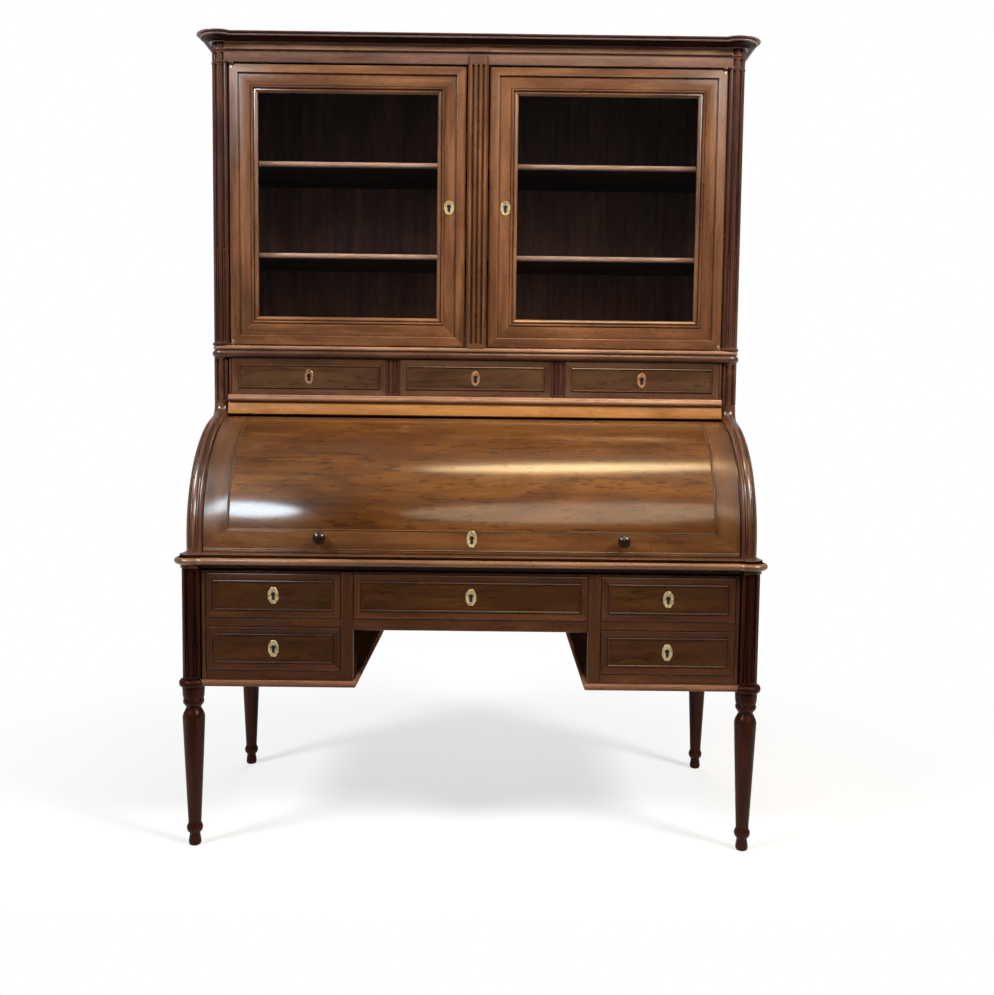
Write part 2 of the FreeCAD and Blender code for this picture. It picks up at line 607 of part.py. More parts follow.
def locked_drawer(label, across, face, low, high, rear):
    """A drawer in an opening: framed front with a sunk field, box behind it, and a lock with its plate."""
    left, right = f"({across[0]} + drawer_gap)", f"({across[1]} - drawer_gap)"
    bottom, top = f"({low} + slide_gap)", f"({high} - drawer_gap)"
    front = f"({face} - face_proud)"
    front_back = f"({front} + front_thick)"
    middle, key = f"(({left}) + ({right})) / 2", f"({bottom} + {top}) / 2"
    slab = board(f"{label}_front", (left, right), (front, front_back), (bottom, top))
    field = board(f"{label}_field", (f"{left} + field_margin", f"{right} - field_margin"),
                  (f"{front} - overrun", f"{front} + field_depth"), (f"{bottom} + field_margin", f"{top} - field_margin"))
    lock_span = (f"{front_back} - lock_thick", front_back)
    room_span = (lock_span[0], f"{front_back} + overrun")
    face_board = cut(f"{label}_face", slab, field, lock_case(f"{label}_room", middle, room_span, key))
    node(label, face_board, *box_boards(label, (left, right), (front_back, rear), bottom, top, "drawer_side",
                                        "drawer_bottom"))
    node(f"{label}_lock", lock_case(label, middle, lock_span, key),
         plate(label, middle, f"{front} + field_depth - plate_thick", key))


DESK_DRAWER_REAR = f"({PANEL_FRONT} - desk_drawer_rear_gap)"
ROW_DRAWER_REAR = f"({PANEL_FRONT} - row_drawer_rear_gap)"
for side in ("left", "right"):
    flip = mirrored if side == "left" else tuple
    locked_drawer(f"upper_{side}_drawer", flip(ACROSS_DRAWER), RAIL_FRONT, UPPER_LOW, UPPER_HIGH, DESK_DRAWER_REAR)
    locked_drawer(f"lower_{side}_drawer", flip(ACROSS_DRAWER), RAIL_FRONT, LOWER_LOW, LOWER_HIGH, DESK_DRAWER_REAR)
    locked_drawer(f"row_{side}_drawer", flip((ROW_DIVIDER_OUTER, ROW_OUTER)), FACE_Y, ROW_FLOOR, WAIST_LOW,
                  ROW_DRAWER_REAR)
locked_drawer("centre_drawer", ACROSS_KNEE, RAIL_FRONT, UPPER_LOW, UPPER_HIGH, DESK_DRAWER_REAR)
locked_drawer("row_centre_drawer", ("-row_centre_half", "row_centre_half"), FACE_Y, ROW_FLOOR, WAIST_LOW,
              ROW_DRAWER_REAR)

LID_KEY = f"({AXIS_Z} + {KNOB_RISE})"
LID_LOCK_FRONT = f"({AXIS_Y} - sqrt({LID_INNER}^2 - ({KNOB_RISE} + lock_height / 2)^2))"
node("cylinder_lock",
     lock_case("lid_lock", "0", (LID_LOCK_FRONT, f"{LID_LOCK_FRONT} + lock_thick"), LID_KEY),
     plate("lid_lock", "0", f"{AXIS_Y} - lid_radius - plate_thick", LID_KEY))

# Nest of pigeonholes on the rear board, behind the writing surface
NEST_HALF = f"({SIDE_INNER} - nest_side_gap)"
NEST_BACK = "(total_depth / 2 - nest_setback)"
NEST_FRONT = f"({NEST_BACK} - nest_depth)"
NEST_FLOOR = f"({DESK_TOP} + nest_board)"
NEST_SHELF = f"({NEST_FLOOR} + nest_drawer_height)"
NEST_TOP = f"({DESK_TOP} + nest_height)"
NEST_CEILING = f"({NEST_TOP} - nest_board)"
NEST_WALL = f"({NEST_HALF} - nest_board)"
NEST_CELL = f"({NEST_WALL} - nest_drawer_width)"
nest_full = (f"-{NEST_HALF}", NEST_HALF)
nest_inside = (f"-{NEST_WALL}", NEST_WALL)
nest_run = (NEST_FRONT, f"{NEST_BACK} - nest_board")
pigeonholes = 6
nest = [
    board("nest_bottom", nest_full, (NEST_FRONT, NEST_BACK), (DESK_TOP, NEST_FLOOR)),
    board("nest_lid", nest_full, (NEST_FRONT, NEST_BACK), (NEST_CEILING, NEST_TOP)),
    board("nest_shelf", nest_inside, nest_run, (NEST_SHELF, f"{NEST_SHELF} + nest_board")),
    board("nest_back", nest_inside, (f"{NEST_BACK} - nest_board", NEST_BACK), (NEST_FLOOR, NEST_CEILING)),
    *pair("nest_end", (NEST_WALL, NEST_HALF), (NEST_FRONT, NEST_BACK), (NEST_FLOOR, NEST_CEILING)),
    *pair("nest_cell", (f"{NEST_CELL} - nest_board", NEST_CELL), nest_run, (NEST_FLOOR, NEST_SHELF)),
]
for index in range(1, pigeonholes):
    middle = f"({2 * index / pigeonholes - 1} * {NEST_HALF})"
    nest.append(board(f"nest_divider_{index}", (f"{middle} - nest_board / 2", f"{middle} + nest_board / 2"), nest_run,
                      (f"{NEST_SHELF} + nest_board", NEST_CEILING)))
node("pigeonhole_nest", *nest)
for side in ("left", "right"):
    flip = mirrored if side == "left" else tuple
    label = f"nest_{side}_drawer"
    opening = flip((NEST_CELL, NEST_WALL))
    left, right = f"({opening[0]} + drawer_gap)", f"({opening[1]} - drawer_gap)"
    bottom, top = f"({NEST_FLOOR} + slide_gap)", f"({NEST_SHELF} - drawer_gap)"
    front_back = f"({NEST_FRONT} + nest_board)"
    middle = f"(({left}) + ({right})) / 2"
    slab = board(f"{label}_front", (left, right), (NEST_FRONT, front_back), (bottom, top))
    button = doc.addObject("Part::Sphere", f"{label}_knob")
    place(bind(button, Radius="nest_knob"), middle, NEST_FRONT, f"({bottom} + {top}) / 2")
    node(label, fuse(f"{label}_face", slab, button),
         *box_boards(label, (left, right), (front_back, f"({nest_run[1]} - nest_drawer_rear_gap)"), bottom, top,
                     "drawer_bottom", "drawer_bottom"))

# Bookcase: waist, columns, sides, face, shelves and cornice


def lobed(name, half, front, radius, low, high):
    """A board across the whole case whose front corners swell round the two columns."""
    slab = board(f"{name}_slab", (f"-({half})", half), (front, BACK_FACE), (low, high))
    lobes = [rod(f"{name}_lobe_{side}", middle, COLUMN_Y, low, radius, f"({high}) - ({low})")
             for side, middle in (("left", f"-{COLUMN_X}"), ("right", COLUMN_X))]
    return fuse(name, slab, *lobes)


node("waist_board", lobed("waist", "case_width / 2 + waist_step", f"{FACE_Y} - waist_lip", "waist_lobe",
                          WAIST_LOW, WAIST_TOP))
COLUMN_BACK = f"({COLUMN_Y} + column_flat)"
BOOKCASE_HEIGHT = (WAIST_TOP, FRIEZE_TOP)
for side in ("left", "right"):
    flip = mirrored if side == "left" else tuple
    middle = COLUMN_X if side == "right" else f"-{COLUMN_X}"
    reach = "(column_radius + overrun)"
    shaft = rod(f"column_{side}", middle, COLUMN_Y, WAIST_TOP, "column_radius", f"{FRIEZE_TOP} - {WAIST_TOP}")
    through = (f"{WAIST_TOP} - overrun", f"{FRIEZE_TOP} + overrun")
    inner_flat = board(f"column_{side}_inner", flip((f"{COLUMN_X} - {reach}", COLUMN_INNER)),
                       (f"{COLUMN_Y} - {reach}", f"{COLUMN_Y} + {reach}"), through)
    rear_flat = board(f"column_{side}_rear", (f"{middle} - {reach}", f"{middle} + {reach}"),
                      (COLUMN_BACK, f"{COLUMN_Y} + {reach}"), through)
    node(f"bookcase_column_{side}", cut(f"column_{side}", shaft, inner_flat, rear_flat))
node("bookcase_sides", *pair("case_side", (CASE_INNER, CASE_OUTER), (COLUMN_BACK, BACK_FACE), BOOKCASE_HEIGHT))
node("bookcase_back", board("book_back", (f"-{CASE_INNER}", CASE_INNER), (PANEL_FRONT, PANEL_BACK), BOOKCASE_HEIGHT))
node("centre_pilaster", board("pilaster", ("-pilaster_half", "pilaster_half"),
                              (f"{FACE_Y} - pilaster_proud", DOOR_BACK), (WAIST_TOP, FRIEZE_LOW)))
node("bookcase_frieze",
     board("frieze", (f"-{COLUMN_INNER}", COLUMN_INNER), (FACE_Y, DOOR_BACK), (FRIEZE_LOW, FRIEZE_TOP)),
     *pair("face_strip", (STRIP_INNER, COLUMN_INNER), (STRIP_FRONT, DOOR_BACK), (WAIST_TOP, FRIEZE_LOW)))

shelves = []
cleats = []
SHELF_FRONT = f"({FACE_Y} + shelf_setback)"
for index in range(2):
    low = f"({WAIST_TOP} + shelf_low + {index} * shelf_pitch)"
    shelves.append(board(f"shelf_{index}", (f"-{CASE_INNER}", CASE_INNER), (SHELF_FRONT, PANEL_FRONT),
                         (low, f"{low} + shelf_thick")))
    cleats += pair(f"cleat_{index}", (f"{CASE_INNER} - cleat", CASE_INNER), (f"{SHELF_FRONT} + cleat", PANEL_FRONT),
                   (f"{low} - cleat", low))
node("bookcase_shelves", *shelves)
node("shelf_cleats", *cleats)

CORNICE_HALF = f"({COLUMN_X} + cornice_lobe - cornice_side)"
CORNICE_FRONT = f"({COLUMN_Y} - cornice_lobe + cornice_front)"
node("cornice",
     lobed("neck", f"{CORNICE_HALF} - cornice_step", f"{CORNICE_FRONT} + cornice_step", "cornice_lobe - cornice_step",
           FRIEZE_TOP, NECK_TOP),
     lobed("crown", CORNICE_HALF, CORNICE_FRONT, "cornice_lobe", NECK_TOP, CROWN_TOP))

# Doors: stiles and rails round a pane in a rebate, turning on a pin at the top and one at the bottom
SIGHT = (f"({DOOR_INNER} + door_frame)", f"({DOOR_OUTER} - door_frame)")
SIGHT_LOW = f"({DOOR_LOW} + door_frame)"
SIGHT_HIGH = f"({DOOR_HIGH} - door_top_rail)"
PANE = (f"{SIGHT[0]} - rebate", f"{SIGHT[1]} + rebate")
PANE_HEIGHT = (f"{SIGHT_LOW} - rebate", f"{SIGHT_HIGH} + rebate")
GLASS_FRONT = f"({FACE_Y} + glass_setback)"
GLASS_BACK = f"({GLASS_FRONT} + glass_thick)"
DOOR_DEPTH = (FACE_Y, DOOR_BACK)
BEAD_DEPTH = (GLASS_BACK, f"{GLASS_BACK} + bead_thick")
DOOR_KEY = f"({DOOR_LOW} + {DOOR_HIGH}) / 2"
DOOR_KEY_X = f"({DOOR_INNER} + door_frame / 2 + door_key_shift)"
for side in ("left", "right"):
    flip = mirrored if side == "left" else tuple
    label = f"{side}_door"
    pivot = PIVOT_X if side == "right" else f"-{PIVOT_X}"
    key_x = DOOR_KEY_X if side == "right" else f"-{DOOR_KEY_X}"
    seat = board(f"{label}_rebate", flip(PANE), (GLASS_FRONT, f"{DOOR_BACK} + overrun"), PANE_HEIGHT)
    lock_span = (f"{DOOR_BACK} - lock_thick", DOOR_BACK)
    lock_room = lock_case(f"{label}_room", key_x, (lock_span[0], f"{DOOR_BACK} + overrun"), DOOR_KEY)
    bore_radius = "pivot_radius + pin_gap"
    bore_depth = "overrun + pivot_length + slide_gap"
    low_bore = rod(f"{label}_low_bore", pivot, PIVOT_Y, f"{DOOR_LOW} - overrun", bore_radius, bore_depth)
    high_bore = rod(f"{label}_high_bore", pivot, PIVOT_Y, f"{DOOR_HIGH} - pivot_length - slide_gap", bore_radius,
                    bore_depth)
    outer_stile = board(f"{label}_outer_stile", flip((SIGHT[1], DOOR_OUTER)), DOOR_DEPTH, (DOOR_LOW, DOOR_HIGH))
    inner_stile = board(f"{label}_inner_stile", flip((DOOR_INNER, SIGHT[0])), DOOR_DEPTH, (DOOR_LOW, DOOR_HIGH))
    low_rail = board(f"{label}_low_rail", flip(SIGHT), DOOR_DEPTH, (DOOR_LOW, SIGHT_LOW))
    high_rail = board(f"{label}_high_rail", flip(SIGHT), DOOR_DEPTH, (SIGHT_HIGH, DOOR_HIGH))
    node(f"{label}_frame",
         cut(f"{label}_outer", outer_stile, seat, low_bore, high_bore),
         cut(f"{label}_inner", inner_stile, seat, lock_room),
         cut(f"{label}_low", low_rail, seat),
         cut(f"{label}_high", high_rail, seat))
    node(f"{label}_glass", board(f"{label}_pane", flip(PANE), (GLASS_FRONT, GLASS_BACK), PANE_HEIGHT))
    node(f"{label}_glazing_beads",
         board(f"{label}_bead_inner", flip((PANE[0], SIGHT[0])), BEAD_DEPTH, PANE_HEIGHT),
         board(f"{label}_bead_outer", flip((SIGHT[1], PANE[1])), BEAD_DEPTH, PANE_HEIGHT),
         board(f"{label}_bead_low", flip(SIGHT), BEAD_DEPTH, (PANE_HEIGHT[0], SIGHT_LOW)),
         board(f"{label}_bead_high", flip(SIGHT), BEAD_DEPTH, (SIGHT_HIGH, PANE_HEIGHT[1])))
    node(f"{label}_lock", lock_case(label, key_x, lock_span, DOOR_KEY),
         plate(label, key_x, f"{FACE_Y} - plate_thick", DOOR_KEY))
    fittings.append(fuse(
        f"{label}_low_pivot",
        rod(f"{label}_low_pin", pivot, PIVOT_Y, WAIST_TOP, "pivot_radius", "door_gap + pivot_length"),
        rod(f"{label}_low_collar", pivot, PIVOT_Y, WAIST_TOP, "pivot_collar", "door_gap - slide_gap")))
    fittings.append(fuse(
        f"{label}_high_pivot",
        rod(f"{label}_high_pin", pivot, PIVOT_Y, f"{DOOR_HIGH} - pivot_length", "pivot_radius", "door_gap + pivot_length"),
        rod(f"{label}_high_collar", pivot, PIVOT_Y, f"{DOOR_HIGH} + slide_gap", "pivot_collar", "door_gap - slide_gap")))
node("pivot_fittings", *fittings)

# Every feature has to be sound before a file is written
doc.recompute()
for thing in doc.Objects:
    if "Invalid" in thing.State or "Error" in thing.State:
        raise RuntimeError(f"{thing.Name} failed: {thing.State}")
os.makedirs("parts", exist_ok=True)
for piece in nodes:
    if piece.Shape.isNull() or not piece.Shape.isValid():
        raise RuntimeError(f"{piece.Label} has no sound shape")
for piece in nodes:
    piece.Shape.exportStep(f"parts/{piece.Label}.step")
print(len(nodes), "sub-parts written")
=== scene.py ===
"""Looks of the cylinder desk: polished mahogany, fluted posts, mouldings, brass and glass.

Each class below dresses one sub-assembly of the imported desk. Lengths are in metres.
"""
import logging
import math
from abc import ABC, abstractmethod
from dataclasses import dataclass
from enum import Enum
from typing import Callable, Sequence

import bmesh
import bpy
from mathutils import Matrix, Vector


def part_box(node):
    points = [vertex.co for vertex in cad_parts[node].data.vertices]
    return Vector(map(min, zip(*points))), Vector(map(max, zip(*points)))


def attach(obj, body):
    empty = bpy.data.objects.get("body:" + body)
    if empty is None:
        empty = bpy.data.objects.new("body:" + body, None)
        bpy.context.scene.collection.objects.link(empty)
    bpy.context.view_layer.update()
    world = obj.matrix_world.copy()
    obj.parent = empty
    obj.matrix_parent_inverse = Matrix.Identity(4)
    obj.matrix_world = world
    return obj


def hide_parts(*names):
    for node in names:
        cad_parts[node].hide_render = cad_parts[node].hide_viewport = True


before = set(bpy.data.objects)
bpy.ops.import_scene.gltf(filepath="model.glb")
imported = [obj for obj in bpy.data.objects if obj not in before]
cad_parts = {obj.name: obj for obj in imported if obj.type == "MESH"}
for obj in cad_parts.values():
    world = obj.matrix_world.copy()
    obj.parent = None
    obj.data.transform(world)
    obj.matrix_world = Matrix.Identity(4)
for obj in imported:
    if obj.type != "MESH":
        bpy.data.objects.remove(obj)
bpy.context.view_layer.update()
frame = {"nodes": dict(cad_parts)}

LOG = logging.getLogger("cylinder_desk")
CREASE = math.radians(32)  # Edges that turn more than this stay sharp.
WHITE = (1.0, 1.0, 1.0)
GRAIN_STEP = (1.37, 0.61, 0.29)  # Shift of the grain from one board to the next.
GRAIN_PLACES = 97  # Boards after which the shifts start again.

Shade = tuple[int, int, int]
Colour = tuple[float, float, float]
Spot = tuple[float, float, float]
Size = tuple[float, float, float]
Pair = tuple[float, float]
Profile = tuple[Pair, ...]
Outline = list[tuple[float, float, float, float]]
Place = Callable[[float, float, float], Vector]
GrainRule = Callable[[Vector], Vector]
Socket = bpy.types.NodeSocket


def tone(red: int, green: int, blue: int) -> Colour:
    """Gives the linear colour of an 8-bit display colour."""
    return tuple(((c / 255 + 0.055) / 1.055) ** 2.4 if c > 10 else c / 3295 for c in (red, green, blue))


class Axis(Enum):
    """Direction that the grain of a board runs in."""

    X = 0
    Y = 1
    Z = 2
    MESH = 3


class Tree:
    """The nodes of one material, added and linked one at a time."""

    def __init__(self, owner: bpy.types.ID) -> None:
        """Starts on the owner's node tree.

        Args:
            owner: Material or world that the nodes belong to.
        """
        owner.use_nodes = True
        self.nodes = owner.node_tree.nodes
        self.links = owner.node_tree.links

    def feed(self, node: bpy.types.Node, inputs: dict) -> bpy.types.Node:
        """Links or sets some inputs of a node.

        Args:
            node: The node.
            inputs: Socket names or numbers, each with a value or a socket to link.

        Returns:
            The same node.
        """
        for name, value in inputs.items():
            if isinstance(value, Socket):
                self.links.new(value, node.inputs[name])
            else:
                node.inputs[name].default_value = value
        return node

    def add(self, kind: str, inputs: dict, **settings: object) -> bpy.types.Node:
        """Adds a node.

        Args:
            kind: The node's type without its "ShaderNode" start.
            inputs: Socket names or numbers, each with a value or a socket to link.
            settings: Attributes of the node.

        Returns:
            The new node.
        """
        node = self.nodes.new("ShaderNode" + kind)
        for name, value in settings.items():
            setattr(node, name, value)
        return self.feed(node, inputs)

    def surface(self, inputs: dict) -> bpy.types.Node:
        """Links or sets some inputs of the material's own surface shader and returns it."""
        return self.feed(self.nodes["Principled BSDF"], inputs)

    def show(self, shader: bpy.types.Node, output: str = "Material Output") -> None:
        """Makes a shader the one that is seen."""
        self.links.new(shader.outputs[0], self.nodes[output].inputs["Surface"])

    def place(self) -> Socket:
        """Returns the coordinates of the object."""
        return self.add("TexCoord", {}).outputs["Object"]

    def reckon(self, operation: str, *values: Socket | float) -> Socket:
        """Returns what an operation makes of one or two values."""
        return self.add("Math", dict(enumerate(values)), operation=operation).outputs[0]

    def ranged(self, source: Socket, given: Pair, wanted: Pair, kind: str = "LINEAR") -> Socket:
        """Returns values of a given range stretched to a wanted one."""
        inputs = dict(enumerate((source, *given, *wanted)))
        return self.add("MapRange", inputs, interpolation_type=kind).outputs[0]

    def scaled(self, source: Socket, scale: Sequence[float]) -> Socket:
        """Returns the coordinates stretched by a scale for each axis."""
        return self.add("VectorMath", {0: source, 1: tuple(scale)}, operation="MULTIPLY").outputs[0]

    def noise(self, source: Socket, scale: Sequence[float], detail: float, rough: float, swirl: float = 0.0) -> Socket:
        """Returns a noise pattern over coordinates stretched by a scale for each axis.

        Args:
            source: Coordinates.
            scale: Scale for each axis.
            detail: Number of finer layers.
            rough: Strength of those layers.
            swirl: How much the pattern is bent.

        Returns:
            The pattern, from 0 to 1.
        """
        inputs = {"Vector": self.scaled(source, scale), "Scale": 1.0, "Detail": detail, "Roughness": rough,
                  "Distortion": swirl}
        return self.add("TexNoise", inputs).outputs["Fac"]

    def ramp(self, source: Socket, stops: Sequence[tuple[float, Colour]]) -> Socket:
        """Returns the colours that a list of stops gives to a pattern.

        Args:
            source: The pattern.
            stops: Places from 0 to 1, each with its colour.

        Returns:
            The colours.
        """
        node = self.add("ValToRGB", {0: source})
        marks = node.color_ramp.elements
        while len(marks) < len(stops):
            marks.new(1.0)
        for mark, (place, colour) in zip(marks, stops):
            mark.position = place
            mark.color = (*colour, 1.0)
        return node.outputs[0]

    def mixed(self, share: Socket | float, first: Socket | Colour, second: Socket, mode: str = "MIX") -> Socket:
        """Returns two colours mixed by a share."""
        start = first if isinstance(first, Socket) else (*first, 1.0)
        return self.add("Mix", {0: share, 6: start, 7: second}, data_type="RGBA", blend_type=mode).outputs[2]

    def darkened(self, share: float, colour: Socket, marks: Socket) -> Socket:
        """Returns a colour with darker marks worked into it by a share."""
        return self.mixed(share, colour, self.mixed(1.0, colour, marks, "MULTIPLY"))

    def bump(self, height: Socket, strength: float, distance: float) -> None:
        """Gives the shader a fine relief from a pattern."""
        node = self.add("Bump", {"Height": height, "Strength": strength, "Distance": distance})
        self.surface({"Normal": node.outputs[0]})


@dataclass(frozen=True)
class Finish(ABC):
    """A finish, whose material is made once and then shared."""

    name: str

    def label(self, axis: Axis) -> str:
        """Gives the material's name; for most finishes the grain direction makes no difference."""
        return self.name

    def material(self, axis: Axis = Axis.MESH) -> bpy.types.Material:
        """Gives the material, which the first call makes.

        Args:
            axis: The direction of the grain, or MESH for grain that the mesh carries.

        Returns:
            The material.
        """
        label = self.label(axis)
        if label not in bpy.data.materials:
            self.dress(Tree(bpy.data.materials.new(label)), axis)
        return bpy.data.materials[label]

    @abstractmethod
    def dress(self, tree: Tree, axis: Axis) -> None:
        """Lays out the nodes of the material."""


@dataclass(frozen=True)
class WoodFinish(Finish):
    """A polished wood: its colours, figure and gloss."""

    dark: Shade
    middle: Shade
    light: Shade
    fleck: float = 0.25
    roughness: float = 0.3
    coat: float = 0.35
    shine: float = 0.4
    mottle: float = 0.5
    # Painted shade and grime: how much and how far ambient occlusion darkens the hollows.
    shade_and_grime: float = 0.65
    shade_and_grime_reach: float = 0.008
    pores: float = 0.55
    coat_roughness: float = 0.17

    def coordinates(self, tree: Tree, axis: Axis) -> Socket:
        """Returns coordinates whose first axis runs with the grain.

        Args:
            tree: Nodes to add to.
            axis: The direction of the grain.

        Returns:
            The coordinates.
        """
        if axis is Axis.MESH:
            return tree.add("Attribute", {}, attribute_name="grain").outputs["Vector"]
        turns = {Axis.X: (0, 0, 0), Axis.Y: (0, 0, -math.pi / 2), Axis.Z: (0, math.pi / 2, 0)}
        return tree.add("Mapping", {"Vector": tree.place(), "Rotation": turns[axis]}).outputs[0]

    def label(self, axis: Axis) -> str:
        """Gives the material's name, with its grain direction."""
        return f"{self.name}_{axis.name.lower()}"

    def dress(self, tree: Tree, axis: Axis) -> None:
        """Lays out streaks and clouds, dark flecks, open pores, painted shade and grime in the hollows, and uneven
        gloss.

        Args:
            tree: Nodes to add to.
            axis: The direction of the grain.
        """
        grain = self.coordinates(tree, axis)
        streaks = tree.noise(grain, (3.2, 46, 46), detail=5, rough=0.62, swirl=0.7)
        clouds = tree.noise(grain, (2.6, 9, 9), detail=3, rough=0.55, swirl=0.9)
        figure = tree.add("Mix", {0: self.mottle, 2: streaks, 3: clouds}).outputs[0]
        wood = tree.ramp(figure, ((0.3, tone(*self.dark)), (0.5, tone(*self.middle)), (0.7, tone(*self.light))))
        flecks = tree.noise(grain, (22, 120, 120), detail=2, rough=0.5, swirl=0.45)
        wood = tree.darkened(self.fleck, wood, tree.ramp(flecks, ((0.57, WHITE), (0.68, (0.36, 0.29, 0.24)))))
        pores = tree.noise(grain, (70, 1500, 1500), detail=2, rough=0.5)
        wood = tree.darkened(self.pores, wood, tree.ramp(pores, ((0.5, WHITE), (0.66, (0.55, 0.5, 0.46)))))
        # Painted shade and grime: the hollows, such as flutes, quirks and corners, are darkened by ambient occlusion.
        hollow = tree.add("AmbientOcclusion", {"Distance": self.shade_and_grime_reach}, samples=6, only_local=True).outputs["AO"]
        wood = tree.darkened(self.shade_and_grime, wood, tree.ramp(hollow, ((0.55, (0.2, 0.17, 0.15)), (0.95, WHITE))))
        wear = tree.noise(grain, (9, 22, 22), detail=4, rough=0.6)
        gloss = tree.ranged(wear, (0.3, 0.7), (self.roughness * 0.75, self.roughness * 1.3))
        tree.surface({"Base Color": wood, "Roughness": gloss, "Coat Weight": self.coat,
                      "Coat Roughness": self.coat_roughness, "Specular IOR Level": self.shine})
        tree.bump(pores, strength=0.12, distance=0.0006)


@dataclass(frozen=True)
class BrassFinish(Finish):
    """Old brass, darker where it is tarnished."""

    clean: Shade
    tarnished: Shade

    def dress(self, tree: Tree, axis: Axis) -> None:
        """Lays out tarnished patches and fine scratches.

        Args:
            tree: Nodes to add to.
            axis: Not used: brass has no grain.
        """
        place = tree.place()
        patches = tree.noise(place, (160, 160, 160), detail=4, rough=0.6)
        scratches = tree.noise(place, (900, 2600, 400), detail=2, rough=0.5)
        brass = tree.ramp(patches, ((0.35, tone(*self.tarnished)), (0.6, tone(*self.clean))))
        dull = tree.ranged(patches, (0.3, 0.7), (0.48, 0.26))
        tree.surface({"Base Color": brass, "Roughness": dull, "Metallic": 0.55})
        tree.bump(scratches, strength=0.1, distance=0.0003)


@dataclass(frozen=True)
class GlassFinish(Finish):
    """Thin old window glass, faintly uneven."""

    name: str = "door_glass"

    def dress(self, tree: Tree, axis: Axis) -> None:
        """Lays out a wavy, slightly dusty pane that lets light fall through to the shelves.

        Args:
            tree: Nodes to add to.
            axis: Not used: glass has no grain.
        """
        place = tree.place()
        haze = tree.ranged(tree.noise(place, (5, 5, 3), detail=3, rough=0.5), (0.3, 0.7), (0.0, 0.03))
        shader = tree.surface({"Base Color": (0.93, 0.95, 0.94, 1.0), "Transmission Weight": 1.0, "IOR": 1.46,
                               "Roughness": haze})
        tree.bump(tree.noise(place, (7, 7, 4), detail=1, rough=0.4), strength=0.04, distance=0.002)
        clear = tree.add("BsdfTransparent", {"Color": (0.86, 0.88, 0.87, 1.0)})
        shadow = tree.add("LightPath", {}).outputs["Is Shadow Ray"]
        tree.show(tree.add("MixShader", {0: shadow, 1: shader.outputs[0], 2: clear.outputs[0]}))


@dataclass(frozen=True)
class LeatherFinish(Finish):
    """Worn writing leather with a pebbled grain."""

    deep: Shade
    worn: Shade

    def dress(self, tree: Tree, axis: Axis) -> None:
        """Lays out rubbed patches and the pebbles.

        Args:
            tree: Nodes to add to.
            axis: Not used: the pebbles have no direction.
        """
        place = tree.place()
        rubbed = tree.noise(place, (6, 6, 6), detail=5, rough=0.65)
        pebble = tree.add("TexVoronoi", {"Vector": tree.scaled(place, (700, 700, 700)), "Scale": 1.0})
        leather = tree.ramp(rubbed, ((0.35, tone(*self.deep)), (0.68, tone(*self.worn))))
        dull = tree.ranged(rubbed, (0.3, 0.7), (0.42, 0.62))
        tree.surface({"Base Color": leather, "Roughness": dull, "Specular IOR Level": 0.08})
        tree.bump(pebble.outputs["Distance"], strength=0.35, distance=0.0008)


MAHOGANY = WoodFinish("mahogany", (66, 40, 24), (112, 72, 46), (152, 104, 68))
DARK_MAHOGANY = WoodFinish("dark_mahogany", (30, 12, 6), (46, 20, 10), (66, 33, 18), coat=0.06, shine=0.06)
KNOB_MAHOGANY = WoodFinish("knob_mahogany", (20, 10, 7), (34, 18, 12), (50, 28, 19), coat=0.5, shine=0.2)
COLUMN_MAHOGANY = WoodFinish("column_mahogany", (52, 29, 21), (82, 50, 38), (112, 72, 56), coat=0.25, shine=0.2)
SIDE_MAHOGANY = WoodFinish("side_mahogany", (54, 31, 20), (84, 52, 36), (114, 75, 53), coat=0.4)
FLOOR_MAHOGANY = WoodFinish("floor_mahogany", (74, 48, 34), (116, 80, 60), (150, 110, 86), coat=0.0, shine=0.0)
# Painted shade: a darker copy of mahogany for the base, which gets less light lower down.
SHADED_BASE_MAHOGANY = WoodFinish("base_mahogany", (46, 25, 13), (70, 40, 22), (94, 58, 33))
SHADED_MAHOGANY = WoodFinish("shaded_mahogany", (26, 14, 8), (40, 23, 13), (54, 33, 19), roughness=0.7, coat=0.0,
                             shine=0.0)
NOSE_MAHOGANY = WoodFinish("nose_mahogany", (80, 51, 32), (116, 78, 51), (148, 104, 72))
# Painted light: a lighter copy of mahogany for beads, fillets and bands that catch light from above.
LIT_MAHOGANY = WoodFinish("edge_mahogany", (113, 79, 59), (155, 113, 87), (185, 142, 112))
# Painted light: lighter copies of mahogany for the crown and its bead.
LIT_CORNICE_MAHOGANY = WoodFinish("cornice_mahogany", (112, 84, 75), (148, 116, 104), (176, 144, 131))
LIT_CORNICE_BEAD = WoodFinish("cornice_bead", (128, 100, 92), (158, 128, 118), (184, 154, 144), shade_and_grime=0.2)
LIPPING = WoodFinish("shelf_lipping", (112, 82, 68), (140, 105, 88), (164, 128, 110), roughness=0.5, coat=0.0)
FRIEZE_MAHOGANY = WoodFinish("frieze_mahogany", (74, 50, 40), (112, 80, 66), (142, 108, 92))
ROW_MAHOGANY = WoodFinish("row_mahogany", (58, 36, 24), (86, 56, 38), (112, 76, 53))
FIGURED_MAHOGANY = WoodFinish("figured_mahogany", (54, 29, 7), (81, 46, 12), (110, 69, 23), fleck=0.75, roughness=0.36,
                              coat=0.85, shine=0.15)
LID_MAHOGANY = WoodFinish("lid_mahogany", (60, 35, 17), (95, 59, 30), (126, 84, 47), coat=0.3)
LID_STILES = WoodFinish("lid_stiles", (50, 28, 13), (79, 48, 23), (105, 69, 37), coat=0.3)
